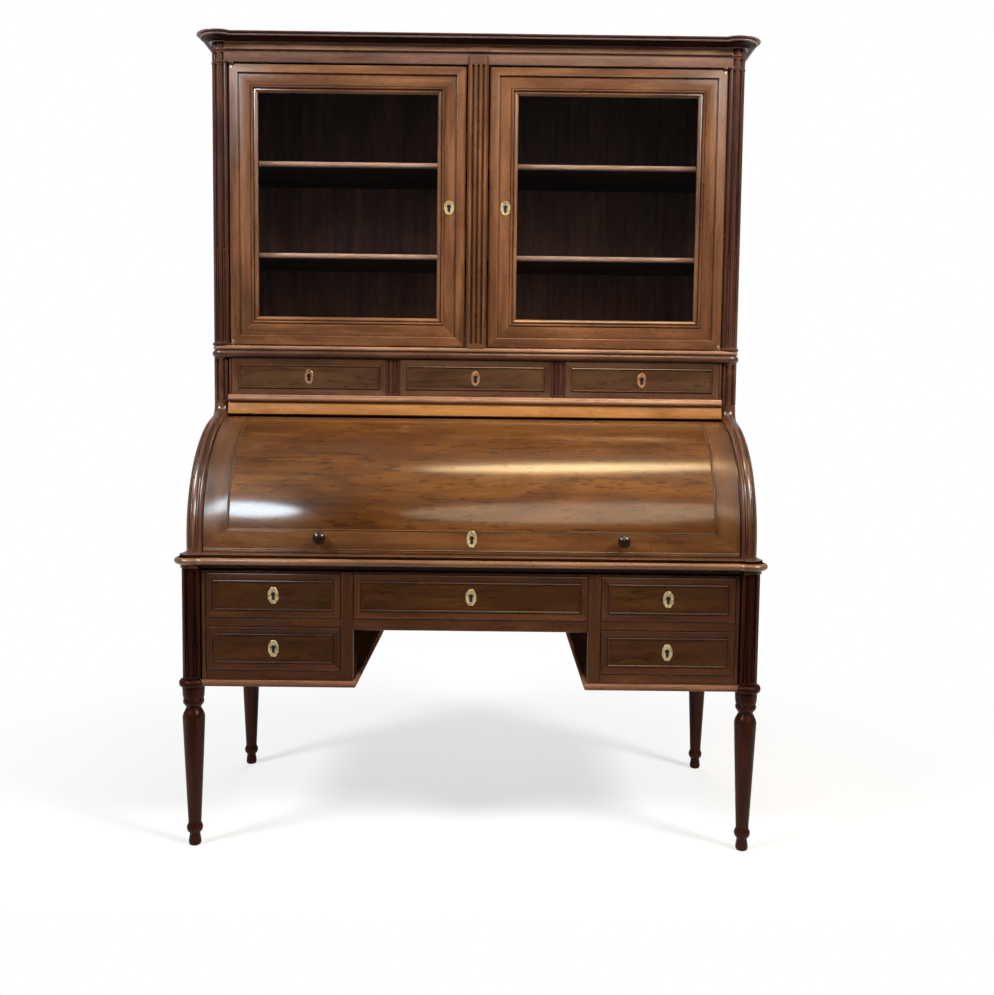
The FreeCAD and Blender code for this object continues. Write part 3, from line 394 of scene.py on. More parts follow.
# Painted shade: a darker copy of the figured field for the base's drawers and panels.
SHADED_BASE_FIGURED = WoodFinish("base_figured", (41, 22, 7), (64, 36, 13), (88, 54, 22), fleck=0.7)
ROW_FIGURED = WoodFinish("row_figured", (54, 34, 20), (80, 54, 34), (102, 72, 48), fleck=0.7)
GOLDEN_MAHOGANY = WoodFinish("golden_mahogany", (120, 77, 38), (156, 104, 54), (186, 132, 75))
OAK = WoodFinish("oak", (120, 88, 56), (152, 116, 78), (176, 140, 100), roughness=0.55, coat=0.0)
BACK_BOARDS = WoodFinish("back_boards", (60, 39, 33), (86, 58, 49), (110, 78, 67), roughness=0.6, coat=0.0, shine=0.2)
BRASS = BrassFinish("aged_brass", (230, 212, 164), (160, 136, 92))
DULL_BRASS = BrassFinish("dull_brass", (92, 68, 52), (58, 40, 30))
COPPER_BRASS = BrassFinish("copper_brass", (206, 150, 112), (136, 92, 64))
# Painted shade: the near-black walls and floor of the keyholes.
KEYHOLE_SHADE = WoodFinish("keyhole_dark", (8, 6, 5), (12, 9, 7), (18, 13, 10), roughness=0.8, coat=0.0)
GLASS = GlassFinish()
LEATHER = LeatherFinish("writing_leather", (26, 40, 26), (46, 60, 38))
GILT = BrassFinish("gilt", (206, 168, 92), (150, 112, 52))


def along(axis: Axis, shift: float) -> GrainRule:
    """Gives the rule that turns a point into grain coordinates.

    Args:
        axis: The direction of the grain.
        shift: Moves the pattern, so that two boards never share one.

    Returns:
        The rule.
    """
    order = {Axis.X: (0, 1, 2), Axis.Y: (1, 2, 0), Axis.Z: (2, 0, 1)}[axis]
    start = Vector([shift * step for step in GRAIN_STEP])
    return lambda p: Vector((p[order[0]], p[order[1]], p[order[2]])) + start


def front(y: float) -> Place:
    """Gives a plane that looks at the user: across, up and out."""
    return lambda u, v, w: Vector((u, y - w, v))


def side(x: float, out: int) -> Place:
    """Gives a plane on a case side: along the depth, up and out."""
    return lambda u, v, w: Vector((x + out * w, u, v))


def rear(y: float) -> Place:
    """Gives a plane that looks backwards."""
    return lambda u, v, w: Vector((u, y + w, v))


def above(z: float) -> Place:
    """Gives a plane that looks up: across, along the depth and out."""
    return lambda u, v, w: Vector((u, v, z + w))


def spread(low: float, high: float, count: int) -> list[float]:
    """Gives evenly spaced places, both ends included."""
    return [low + (high - low) * i / count for i in range(count + 1)]


def smooth(points: Sequence[Pair], steps: int = 5) -> list[Pair]:
    """Rounds a line of points with a curve through all of them.

    Args:
        points: The points, in order.
        steps: Pieces of the curve between two points.

    Returns:
        The points of the curve.
    """
    out = []
    for i in range(len(points) - 1):
        a, b, c, d = (Vector(points[min(max(i + k, 0), len(points) - 1)]) for k in (-1, 0, 1, 2))
        for t in (s / steps for s in range(steps)):
            p = 0.5 * (2 * b + (c - a) * t + (2 * a - 5 * b + 4 * c - d) * t**2 + (3 * b - a - 3 * c + d) * t**3)
            out.append((p[0], p[1]))
    return out + [tuple(points[-1])]


class Draft:
    """Gathers the faces of one piece with their grain, then makes its object."""

    shells = 0

    def __init__(self) -> None:
        """Starts with no faces."""
        self.points: list[Vector] = []
        self.index: dict[tuple, int] = {}
        self.faces: list[list[int]] = []
        self.grains: list[list[Vector]] = []
        self.looks: list[int] = []
        self.look = 0
        self.shell = 0
        self.grain: GrainRule = along(Axis.X, 0)
        self.unroll: GrainRule = lambda p: p
        self.pose = Matrix.Identity(4)

    def paint(self, axis: Axis, look: int = 0, weld: bool = False) -> "Draft":
        """Starts a new board, or welds on to the last one: its grain direction and the number of its finish.

        Args:
            axis: The direction of its grain.
            look: Number of its finish.
            weld: True where it belongs to the last board.

        Returns:
            The same draft, for the call that adds the faces.
        """
        Draft.shells += 1
        self.shell = self.shell if weld else Draft.shells
        self.look = look
        self.grain = along(axis, Draft.shells % GRAIN_PLACES)
        return self

    def face(self, corners: Sequence[Vector]) -> None:
        """Adds one face, welded to the faces of the same board.

        Args:
            corners: Its corners, in order.
        """
        ids = []
        for p in (self.pose @ Vector(c) for c in corners):
            key = (self.shell, *(round(c, 6) for c in p))
            if key not in self.index:
                self.index[key] = len(self.points)
                self.points.append(p)
            ids.append(self.index[key])
        ids = [n for i, n in enumerate(ids) if n != ids[i - 1]]
        if len(set(ids)) >= 3:
            self.faces.append(ids)
            self.grains.append([self.grain(self.unroll(self.points[n])) for n in ids])
            self.looks.append(self.look)

    def grid(self, rows: Sequence[Sequence[Vector]], closed: bool = False) -> None:
        """Adds the faces between rows of points, joined end to start where closed.

        Args:
            rows: Rows of the same number of points.
            closed: True where each row is a ring.
        """
        for low, high in zip(rows, rows[1:]):
            count = len(low)
            for i in range(count if closed else count - 1):
                j = (i + 1) % count
                self.face((low[i], low[j], high[j], high[i]))

    def board(self, low: Sequence[float], high: Sequence[float], edge: float = 0.001) -> None:
        """Adds a board with eased edges between two corners.

        Args:
            low: Lowest corner.
            high: Highest corner.
            edge: Width of the eased edges.
        """
        ends = (low, high)

        def corner(signs: Sequence[int], flat: int) -> Vector:
            """Gives the point of a corner that lies on one of its three faces."""
            inset = [0.0 if k == flat else edge * (1 - 2 * signs[k]) for k in range(3)]
            return Vector([ends[signs[k]][k] + inset[k] for k in range(3)])

        for a in range(3):
            b, c = (a + 1) % 3, (a + 2) % 3
            for s in (0, 1):
                loop = []
                for t, q in ((0, 0), (1, 0), (1, 1), (0, 1)):
                    signs = [0, 0, 0]
                    signs[a], signs[b], signs[c] = s, t, q
                    loop.append(corner(signs, a))
                self.face(loop)
                for q in (0, 1):
                    low_end, high_end = [0, 0, 0], [0, 0, 0]
                    low_end[b], low_end[c] = s, q
                    high_end[a], high_end[b], high_end[c] = 1, s, q
                    self.face((corner(low_end, b), corner(high_end, b), corner(high_end, c), corner(low_end, c)))
        for n in range(8):
            signs = (n & 1, n >> 1 & 1, n >> 2 & 1)
            self.face([corner(signs, k) for k in range(3)])

    def slab(self, outline: Outline, profile: Sequence[Pair], looks: Sequence[int] = ()) -> None:
        """Adds a moulded slab.

        Args:
            outline: Plan points with the way that each moves inwards.
            profile: Inset and height pairs, from the underside to the top.
            looks: Finish number of each step of the profile, the painted one where left out.
        """
        loops = [[Vector((x + dx * inset, y + dy * inset, z)) for x, y, dx, dy in outline] for inset, z in profile]
        for low, high, look in zip(loops, loops[1:], looks or [self.look] * len(loops)):
            self.look = look
            self.grid((low, high), closed=True)
        self.face(loops[0][::-1])
        self.face(loops[-1])

    def turned(self, centre: Pair, profile: Sequence[Pair], segments: int = 48,
               radius: Callable[[float, float, float], float] | None = None) -> None:
        """Adds a piece turned about an upright axis.

        Args:
            centre: Where the axis stands.
            profile: Height and radius pairs, from the bottom up.
            segments: Faces round the piece.
            radius: Changes a radius by angle and height, for flutes.
        """
        rings = []
        for z, r in profile:
            ring = []
            for i in range(segments):
                angle = 2 * math.pi * i / segments
                reach = radius(angle, z, r) if radius else r
                ring.append(Vector((centre[0] + reach * math.sin(angle), centre[1] - reach * math.cos(angle), z)))
            rings.append(ring)
        self.grid(rings, closed=True)
        self.face(rings[0][::-1])
        self.face(rings[-1])

    def run(self, section: Sequence[Pair], start: float, end: float) -> None:
        """Adds a moulding whose depth and height section runs from side to side.

        Args:
            section: Depth and height pairs, in order.
            start: Place across of one end.
            end: Place across of the other end.
        """
        ends = [[Vector((x, y, z)) for y, z in section] for x in (start, end)]
        self.grid(ends, closed=True)
        self.face(ends[0][::-1])
        self.face(ends[1])

    def mitred(self, place: Place, outer: Sequence[Pair], inner: Sequence[Pair], profile: Sequence[Pair],
               rail: Axis, steps: int = 1, look: int = 0, closed: bool = True, stiles: int | None = None) -> None:
        """Adds four moulded sides that meet in mitres.

        Args:
            place: Plane that the frame lies on.
            outer: Lowest and highest corner outside.
            inner: Lowest and highest corner inside.
            profile: Shares of the way inwards, each with its height off the plane.
            rail: Grain of the two sides that lie across.
            steps: Faces along each side.
            look: Number of the finish.
            closed: True where the last point of the profile joins the first.
            stiles: Number of the finish of the two upright sides, that of the others where left out.
        """
        def loop(share: float) -> list[Pair]:
            """Gives the four corners at a share of the way inwards."""
            (u0, v0), (u1, v1) = (tuple(o + (i - o) * share for o, i in zip(outer[k], inner[k])) for k in (0, 1))
            return [(u0, v0), (u1, v0), (u1, v1), (u0, v1)]

        if closed:
            profile = [*profile, profile[0]]
        for k in range(4):
            self.paint(rail if k % 2 == 0 else Axis.Z, stiles if stiles is not None and k % 2 else look, weld=k > 0)
            rows = []
            for share, height in profile:
                (ua, va), (ub, vb) = loop(share)[k], loop(share)[(k + 1) % 4]
                rows.append([place(ua + (ub - ua) * t / steps, va + (vb - va) * t / steps, height)
                             for t in range(steps + 1)])
            self.grid(rows)

    def relief(self, place: Place, us: Sequence[float], vs: Sequence[float],
               height: Callable[[float, float], float], back: float) -> None:
        """Adds a block whose face is carved to a height at each point, with a plain back.

        Args:
            place: Plane of the face.
            us: Places across.
            vs: Places up.
            height: Gives the height off the plane at a point.
            back: Height of the back.
        """
        face = [[place(u, v, height(u, v)) for u in us] for v in vs]
        plain = [[place(u, v, back) for u in us] for v in vs]
        self.grid(face)
        self.grid([row[::-1] for row in plain])
        for rows in (list(zip(face[0], plain[0])), list(zip(face[-1], plain[-1])),
                     [(a[0], b[0]) for a, b in zip(face, plain)], [(a[-1], b[-1]) for a, b in zip(face, plain)]):
            self.grid(rows)

    def framed(self, place: Place, low: Pair, high: Pair, profile: Sequence[Pair], thick: float, rail: Axis,
               looks: tuple[int, int] = (0, 0), field: Axis | None = None) -> None:
        """Adds a board with a moulded frame round a flat field.

        Args:
            place: Plane of the board's front.
            low: Lowest corner on that plane.
            high: Highest corner on that plane.
            profile: Insets and heights from the outer edge to the field.
            thick: Thickness of the board.
            rail: Grain of the frame's two sides that lie across.
            looks: Finish numbers of the frame and the field.
            field: Grain of the field, the same as the rails where it is left out.
        """
        margin, sunk = profile[-1]
        inner = ((low[0] + margin, low[1] + margin), (high[0] - margin, high[1] - margin))
        shape = [(0.0, -thick), *((inset / margin, height) for inset, height in profile)]
        self.mitred(place, (low, high), inner, shape, rail, look=looks[0], closed=False)
        self.paint(field or rail, looks[1], weld=True).panel(place, *inner, sunk)
        self.paint(rail, looks[0], weld=True).panel(place, low, high, -thick)

    def panel(self, place: Place, low: Pair, high: Pair, height: float) -> None:
        """Adds one flat field."""
        self.face([place(*p, height) for p in (low, (high[0], low[1]), high, (low[0], high[1]))])

    def make(self, name: str, body: str, slot: str, finishes: Sequence[Finish], *replaced: str) -> None:
        """Makes the object, rides it on its body and reports it.

        Args:
            name: Name of the piece.
            body: Body that it moves with.
            slot: Not used.
            finishes: Finishes by their numbers.
            replaced: Nodes that the piece stands for.
        """
        mesh = bpy.data.meshes.new(name)
        mesh.from_pydata(self.points, [], self.faces)
        values = [c for corners in self.grains for point in corners for c in point]
        mesh.attributes.new("grain", "FLOAT_VECTOR", "CORNER").data.foreach_set("vector", values)
        mesh.polygons.foreach_set("material_index", self.looks)
        for finish in finishes:
            mesh.materials.append(finish.material())
        made = bmesh.new()
        made.from_mesh(mesh)
        bmesh.ops.recalc_face_normals(made, faces=made.faces)
        made.to_mesh(mesh)
        made.free()
        mesh.polygons.foreach_set("use_smooth", [True] * len(mesh.polygons))
        mesh.set_sharp_from_angle(angle=CREASE)
        piece = bpy.data.objects.new(name, mesh)
        bpy.context.scene.collection.objects.link(piece)
        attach(piece, body)
        if replaced:
            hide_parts(*replaced)
        LOG.info("%s: %d faces on %s", name, len(mesh.polygons), body)


def span(node: str) -> tuple[Vector, Vector]:
    """Gives a node's lowest and highest corner at rest."""
    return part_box(node)


def half_round(low: float, high: float, steps: int = 10) -> list[Pair]:
    """Gives inset and height pairs of an edge rounded from its underside to its top.

    Args:
        low: Height of the underside.
        high: Height of the top.
        steps: Pieces of the curve.

    Returns:
        The pairs, from the bottom up.
    """
    r, middle = (high - low) / 2, (high + low) / 2
    turns = [math.pi * (i / steps - 0.5) for i in range(steps + 1)]
    return [(r * (1 - math.cos(t)), middle + r * math.sin(t)) for t in turns]


def rectangle(low: Pair, high: Pair) -> Outline:
    """Gives a plan rectangle that is moulded at the front and on both sides."""
    return [(low[0], low[1], 1.0, 1.0), (high[0], low[1], -1.0, 1.0),
            (high[0], high[1], -1.0, 0.0), (low[0], high[1], 1.0, 0.0)]


def lobed(half: float, near: float, far: float, centre: Pair, radius: float, steps: int = 20) -> Outline:
    """Gives a plan with a round lobe on each front corner.

    Args:
        half: Half of the width between the lobes' outer sides.
        near: Front edge between the lobes.
        far: Rear edge, which isn't moulded.
        centre: Middle of the right lobe.
        radius: Radius of the lobes.
        steps: Pieces of each lobe's curve.

    Returns:
        Points from the rear left corner round the front to the rear right corner.
    """
    x, y = centre
    start = math.asin(max(-1.0, min(1.0, (near - y) / radius)))
    first = -math.pi - start if near - y > -radius else -math.pi / 2
    last = math.acos(max(-1.0, min(1.0, (half - x) / radius))) if half - x < radius else 0.0
    arc = []
    for t in spread(first, last, steps):
        arc.append((x + radius * math.cos(t), y + radius * math.sin(t), -math.cos(t), -math.sin(t)))
    right = [*arc, (half, far, -1.0, 0.0)]
    left = [(-px, py, -dx, dy) for px, py, dx, dy in reversed(right)]
    return left + right


def narrowed(height: float, low: float, high: float, reach: float) -> float:
    """Gives how wide a rounded end leaves a flute, from 0 to 1.

    Args:
        height: Height of the place.
        low: Lower end of the flute.
        high: Upper end of the flute.
        reach: Length of the rounding.

    Returns:
        The share of the full width.
    """
    gap = min(height - low, high - height)
    if gap <= 0:
        return 0.0
    return math.sqrt(1 - (1 - gap / reach) ** 2) if gap < reach else 1.0


@dataclass(frozen=True)
class Fluting:
    """Upright flutes round a shaft, filled by rounded cables in their lower part."""

    low: float
    high: float
    cable: float
    depth: float = 0.005
    half_width: float = 0.19
    count: int = 8
    cable_width: float = 0.86
    cable_fill: float = 0.92

    def radius(self, angle: float, height: float, radius: float) -> float:
        """Gives the shaft's radius at an angle and height.

        Args:
            angle: Angle round the shaft.
            height: Height of the place.
            radius: Radius of the plain shaft.

        Returns:
            The radius.
        """
        step = 2 * math.pi / self.count
        off = ((angle / step) % 1 - 0.5) * step / self.half_width
        end = self.half_width * radius
        wide = narrowed(height, self.low, self.high, end)
        if wide == 0 or abs(off) >= wide:
            return radius
        dip = self.depth * math.sqrt(1 - (off / wide) ** 2)
        cable = self.cable_width * narrowed(height, self.low - 1, self.cable, end)
        if cable and abs(off) < cable:
            dip = min(dip, self.depth * (1 - self.cable_fill * math.sqrt(1 - (off / cable) ** 2)))
        return radius - dip

    def levels(self, reach: float = 0.005) -> list[float]:
        """Gives the heights of the rings that a fluted shaft needs.

        Args:
            reach: How far the closer rings reach from the ends.

        Returns:
            The heights, from the bottom up.
        """
        marks = []
        for place in (self.low, self.cable, self.high):
            marks += [place + reach * k / 4 for k in range(-4, 5)]
        return sorted({round(m, 5) for m in [*marks, *spread(self.low, self.high, 6)]})


@dataclass(frozen=True)
class Legs:
    """Four turned legs; the front pair carry fluted posts."""

    across: float = 0.7095
    near: float = -0.316
    far: float = 0.332
    post: float = 0.0265
    post_low: float = 0.438
    post_high: float = 0.725
    cable: float = 0.535
    flute_rise: float = 0.004
    flute_drop: float = 0.006
    foot_sides: int = 64
    post_sides: int = 192
    rear_sides: int = 48
    foot: Profile = (
        (0, 0.0105), (0.0015, 0.0135), (0.005, 0.0155), (0.013, 0.0158), (0.022, 0.0145), (0.029, 0.0135),
        (0.033, 0.014),
    )
    ankle: Profile = (
        (0.034, 0.0155), (0.038, 0.0185), (0.044, 0.0204), (0.05, 0.0203), (0.056, 0.0178), (0.06, 0.0165),
    )
    taper: Profile = (
        (0.061, 0.0164), (0.2, 0.0226), (0.325, 0.0278), (0.338, 0.028), (0.347, 0.0262), (0.356, 0.0218),
        (0.363, 0.0186),
    )
    collar: Profile = (
        (0.364, 0.0186), (0.37, 0.0225), (0.375, 0.0258), (0.379, 0.0266), (0.384, 0.0258), (0.387, 0.0245),
    )
    block: Profile = ((0.388, 0.0255), (0.396, 0.0272), (0.418, 0.0284))
    astragal: Profile = (
        (0.4185, 0.0315), (0.421, 0.0345), (0.4255, 0.0359), (0.43, 0.0359), (0.4345, 0.0342), (0.4375, 0.0305),
    )

    def profile(self) -> list[Pair]:
        """Gives the turned outline below the post."""
        parts = (self.foot, self.ankle, self.taper, self.collar, self.block, self.astragal)
        return [p for part in parts for p in smooth(part, 4)]

    def build(self) -> None:
        """Makes the four legs."""
        flutes = Fluting(self.post_low + self.flute_rise, self.post_high - self.flute_drop, self.cable)
        shaft = [(z, self.post) for z in [self.post_low, *flutes.levels(), self.post_high]]
        for label, sign in (("left", -1), ("right", 1)):
            draft = Draft()
            stand = (sign * self.across, self.near)
            draft.paint(Axis.Z).turned(stand, self.profile(), self.foot_sides)
            draft.paint(Axis.Z).turned(stand, shaft, self.post_sides, flutes.radius)
            draft.make(f"front_{label}_turned_leg", "carcass", "dark_mahogany", [DARK_MAHOGANY], f"front_{label}_leg")
        draft = Draft()
        for sign in (-1, 1):
            plain = [*self.profile(), (self.post_low, self.post), (self.post_high, self.post)]
            draft.paint(Axis.Z).turned((sign * self.across, self.far), plain, self.rear_sides)
        draft.make("rear_turned_legs", "carcass", "dark_mahogany", [DARK_MAHOGANY], "rear_legs")


@dataclass(frozen=True)
class LockPlate:
    """A brass keyhole plate and the lock case behind it."""

    half_width: float = 0.0133
    half_height: float = 0.021
    thick: float = 0.0012
    rim: float = 0.0022
    bow: float = 0.0058
    slot: float = 0.0036
    slot_drop: float = 0.0145
    case: Size = (0.04, 0.01, 0.032)
    corners: float = 7.0
    clip: float = 1.4
    sides: int = 72
    bow_rise: float = 0.003
    mouth: Spot = (1.3, 1.2, 0.74)
    mouth_drop: float = 0.0004
    hole_edge: float = 0.6
    hole_floor: float = 0.0001
    case_ease: float = 0.0008
    rings: Profile = ((0, 0), (0, 0.55), (0.35, 1), (1, 0.98), (1.25, 0.72))

    def outline(self, angle: float, inset: float) -> Pair:
        """Gives a point of the plate's outline: an oval, or a rectangle with clipped corners.

        Args:
            angle: Angle round the middle.
            inset: Distance inside the outline.

        Returns:
            Place across and up from the middle.
        """
        a, b, n = self.half_width - inset, self.half_height - inset, self.corners
        c, s = abs(math.cos(angle)), abs(math.sin(angle))
        r = min(((c / a) ** n + (s / b) ** n) ** (-1 / n), self.clip / (c / a + s / b))
        return r * math.cos(angle), r * math.sin(angle)

    def keyhole(self, angle: float) -> Pair:
        """Gives a point of the keyhole, seen from the middle of its round part.

        Args:
            angle: Angle round that middle.

        Returns:
            Place across and up from the plate's middle.
        """
        c, s = math.cos(angle), math.sin(angle)
        reach = self.bow
        if s < 0 and abs(c) * self.slot_drop < self.slot * -s:
            reach = max(reach, self.slot_drop / -s)
        elif s < 0 and abs(c) > 1e-6:
            reach = max(self.bow, min(self.slot / abs(c), self.slot_drop / -s))
        return reach * c, reach * s + self.bow_rise

    def plate(self, draft: Draft, place: Place, middle: Pair) -> None:
        """Adds the plate, in finish 0, and its keyhole, in finish 1, a near-black painted shade.

        Args:
            draft: Piece to add to.
            place: Plane that the back of the plate lies on.
            middle: Middle of the plate.
        """
        turns = [2 * math.pi * i / self.sides for i in range(self.sides)]

        def ring(points: Sequence[Pair], height: float) -> list[Vector]:
            """Places one ring of points."""
            return [place(middle[0] + u, middle[1] + v, height) for u, v in points]

        hole = [self.keyhole(t) for t in turns]
        rings = [ring([self.outline(t, self.rim * inset) for t in turns], self.thick * height)
                 for inset, height in self.rings]
        wide, tall, level = self.mouth
        rings += [ring([(u * wide, v * tall - self.mouth_drop) for u, v in hole], self.thick * level),
                  ring(hole, self.thick * self.hole_edge)]
        draft.paint(Axis.X).grid(rings, closed=True)
        draft.grid([[place(*middle, 0.0)] * len(turns), rings[0]], closed=True)
        draft.paint(Axis.X, 1, weld=True).grid([rings[-1], ring(hole, self.hole_floor)], closed=True)
        draft.face(ring(hole, self.hole_floor))

    def build(self, node: str, body: str, place: Place, middle: Pair, finish: Finish = BRASS) -> None:
        """Makes the lock that stands for a node: plate in front, case behind.

        Args:
            node: The node.
            body: Body that it moves with.
            place: Plane that the plate lies on.
            middle: Middle of the plate.
            finish: Finish of the plate and the case.
        """
        back = span(node)[1].y
        draft = Draft()
        self.plate(draft, place, middle)
        wide, deep, tall = self.case
        draft.paint(Axis.X).board((middle[0] - wide / 2, back - deep, middle[1] - tall / 2),
                                  (middle[0] + wide / 2, back, middle[1] + tall / 2), self.case_ease)
        draft.make(f"{node}_plate", body, "brass", [finish, KEYHOLE_SHADE], node)


@dataclass(frozen=True)
class Drawer:
    """A drawer: moulded front with a sunk field, oak box behind and a lock."""

    node: str
    frame: WoodFinish
    field: WoodFinish
    brass: BrassFinish = BRASS
    plate: LockPlate = LockPlate()
    thick: float = 0.022
    wall: float = 0.01
    floor: float = 0.006
    floor_rise: float = 0.004
    wall_drop: float = 0.01
    edge: Profile = (
        (0, -0.0012), (0.0004, -0.0004), (0.0012, 0), (0.0018, -0.0002), (0.0166, -0.0053), (0.017, -0.006),
        (0.0174, -0.006), (0.0176, -0.005), (0.0184, -0.0034), (0.0196, -0.0027), (0.0208, -0.0031),
        (0.0217, -0.0045), (0.022, -0.005),
    )

    def build(self) -> None:
        """Makes the drawer and its lock."""
        low, high = span(self.node)
        body = f"{self.node}_box"
        draft = Draft()
        draft.framed(front(low.y), (low.x, low.z), (high.x, high.z), self.edge, self.thick, Axis.X, (0, 1))
        back = low.y + self.thick
        top = high.z - self.wall_drop
        base = low.z + self.floor_rise
        for x in (low.x, high.x - self.wall):
            draft.paint(Axis.Y, 2).board((x, back, low.z), (x + self.wall, high.y, top))
        draft.paint(Axis.X, 2).board((low.x + self.wall, back, base), (high.x - self.wall, high.y, base + self.floor))
        draft.paint(Axis.X, 2).board((low.x + self.wall, high.y - self.wall, base + self.floor),
                                     (high.x - self.wall, high.y, top))
        draft.make(f"{self.node}_piece", body, "mahogany", [self.frame, self.field, OAK], self.node)
        middle = ((low.x + high.x) / 2, (low.z + high.z) / 2)
        self.plate.build(f"{self.node}_lock", body, front(low.y - self.edge[-1][1]), middle, self.brass)


PANEL_EDGE: Profile = (
    (0, -0.001), (0.001, 0), (0.052, 0), (0.0535, -0.0014), (0.0555, -0.0018), (0.058, -0.0042), (0.0605, -0.0058),
    (0.062, -0.006),
)
BACK_EDGE: Profile = ((0, -0.001), (0.001, 0), (0.045, 0), (0.048, -0.003), (0.052, -0.0045))


@dataclass(frozen=True)
class Base:
    """The two pedestals under the writing top: panels, floors, rails and drawers."""

    panel_thick: float = 0.022
    stile_inner: float = 0.298
    stile_width: float = 0.033
    drawer_outer: float = 0.673
    stile_outer: float = 0.683
    post_inner: float = 0.6915
    rail_front: float = -0.331
    rail_back: float = -0.309
    facing: float = 0.004
    rail_ease: float = 0.0012
    facing_ease: float = 0.0002
    kneehole_thick: float = 0.018
    rear_inner: float = 0.316
    floor_inner: float = 0.29
    levels: Profile = ((0.438, 0.464), (0.576, 0.6), (0.713, 0.719))
    apron_low: float = 0.57
    gap_front: float = -0.319
    gap_high: float = 0.725

    def panels(self) -> None:
        """Makes the framed outer sides, the plain kneehole sides and the framed back."""
        low, high = span("base_side_panels")
        draft = Draft()
        for sign in (-1, 1):
            draft.framed(side(sign * high.x, sign), (low.y, low.z), (high.y, high.z), PANEL_EDGE, self.panel_thick,
                         Axis.Y, (0, 1))
        draft.make("base_side_frames", "carcass", "mahogany", [SHADED_BASE_MAHOGANY, SHADED_BASE_FIGURED], "base_side_panels")
        low, high = span("kneehole_panels")
        draft = Draft()
        for x in (-self.stile_inner - self.kneehole_thick, self.stile_inner):
            draft.paint(Axis.Y).board((x, low.y, low.z), (x + self.kneehole_thick, high.y, high.z))
        draft.make("kneehole_sides", "carcass", "mahogany", [SHADED_MAHOGANY], "kneehole_panels")
        low, high = span("base_back_panels")
        draft = Draft()
        for x0, x1, z0 in ((-self.post_inner, -self.rear_inner, low.z),
                           (-self.stile_inner, self.stile_inner, self.apron_low),
                           (self.rear_inner, self.post_inner, low.z)):
            draft.framed(rear(high.y), (x0, z0), (x1, high.z), BACK_EDGE, high.y - low.y, Axis.X, (0, 1), Axis.X)
        draft.make("base_rear_frames", "carcass", "oak", [BACK_BOARDS, BACK_BOARDS], "base_back_panels")

    def floors(self) -> None:
        """Makes the pedestal floors with their rounded, bright edge."""
        low, high = span("pedestal_floors")
        draft = Draft()
        profile = half_round(low.z, high.z)
        for x0, x1 in ((low.x, -self.floor_inner), (self.floor_inner, high.x)):
            draft.paint(Axis.X).slab(rectangle((x0, low.y), (x1, high.y)), profile)
        draft.make("pedestal_moulded_floors", "carcass", "mahogany", [FLOOR_MAHOGANY], "pedestal_floors")

    def rails(self) -> None:
        """Makes the stiles and rails between the drawers."""
        y0, y1 = self.rail_front, self.rail_back
        low, high = self.levels[0][0], self.levels[-1][1]
        rail_inner = self.stile_inner + self.stile_width
        draft = Draft()
        for sign in (-1, 1):
            for a, b in ((self.stile_inner, rail_inner), (self.drawer_outer, self.stile_outer)):
                x0, x1 = sorted((sign * a, sign * b))
                draft.paint(Axis.Z).board((x0, y0, low), (x1, y0 + self.facing, high), self.rail_ease)
                draft.paint(Axis.Z, 1).board((x0, y0 + self.facing, low), (x1, y1, high), self.facing_ease)
            x0, x1 = sorted((sign * rail_inner, sign * self.drawer_outer))
            for z0, z1 in self.levels:
                draft.paint(Axis.X).board((x0, y0, z0), (x1, y1, z1), self.rail_ease)
        for z0, z1 in ((self.apron_low, self.levels[1][1]), self.levels[2]):
            draft.paint(Axis.X).board((-self.stile_inner, y0, z0), (self.stile_inner, y1, z1), self.rail_ease)
        draft.paint(Axis.X).board((-self.post_inner, self.gap_front, high), (self.post_inner, y1, self.gap_high),
                                  self.rail_ease / 2)
        draft.make("base_rails_and_stiles", "carcass", "mahogany", [SHADED_BASE_MAHOGANY, SHADED_MAHOGANY], "base_front_rails")

    def build(self) -> None:
        """Makes the pedestals and their five drawers."""
        self.panels()
        self.floors()
        self.rails()
        for name in ("upper_left", "upper_right", "lower_left", "lower_right", "centre"):
            Drawer(f"{name}_drawer", SHADED_BASE_MAHOGANY, SHADED_BASE_FIGURED).build()


# The nose, then painted shade: the shaded finish in the sunk step and the darker side finish on the flat top behind it.
TOP_FINISHES = (NOSE_MAHOGANY, SHADED_MAHOGANY, SIDE_MAHOGANY)


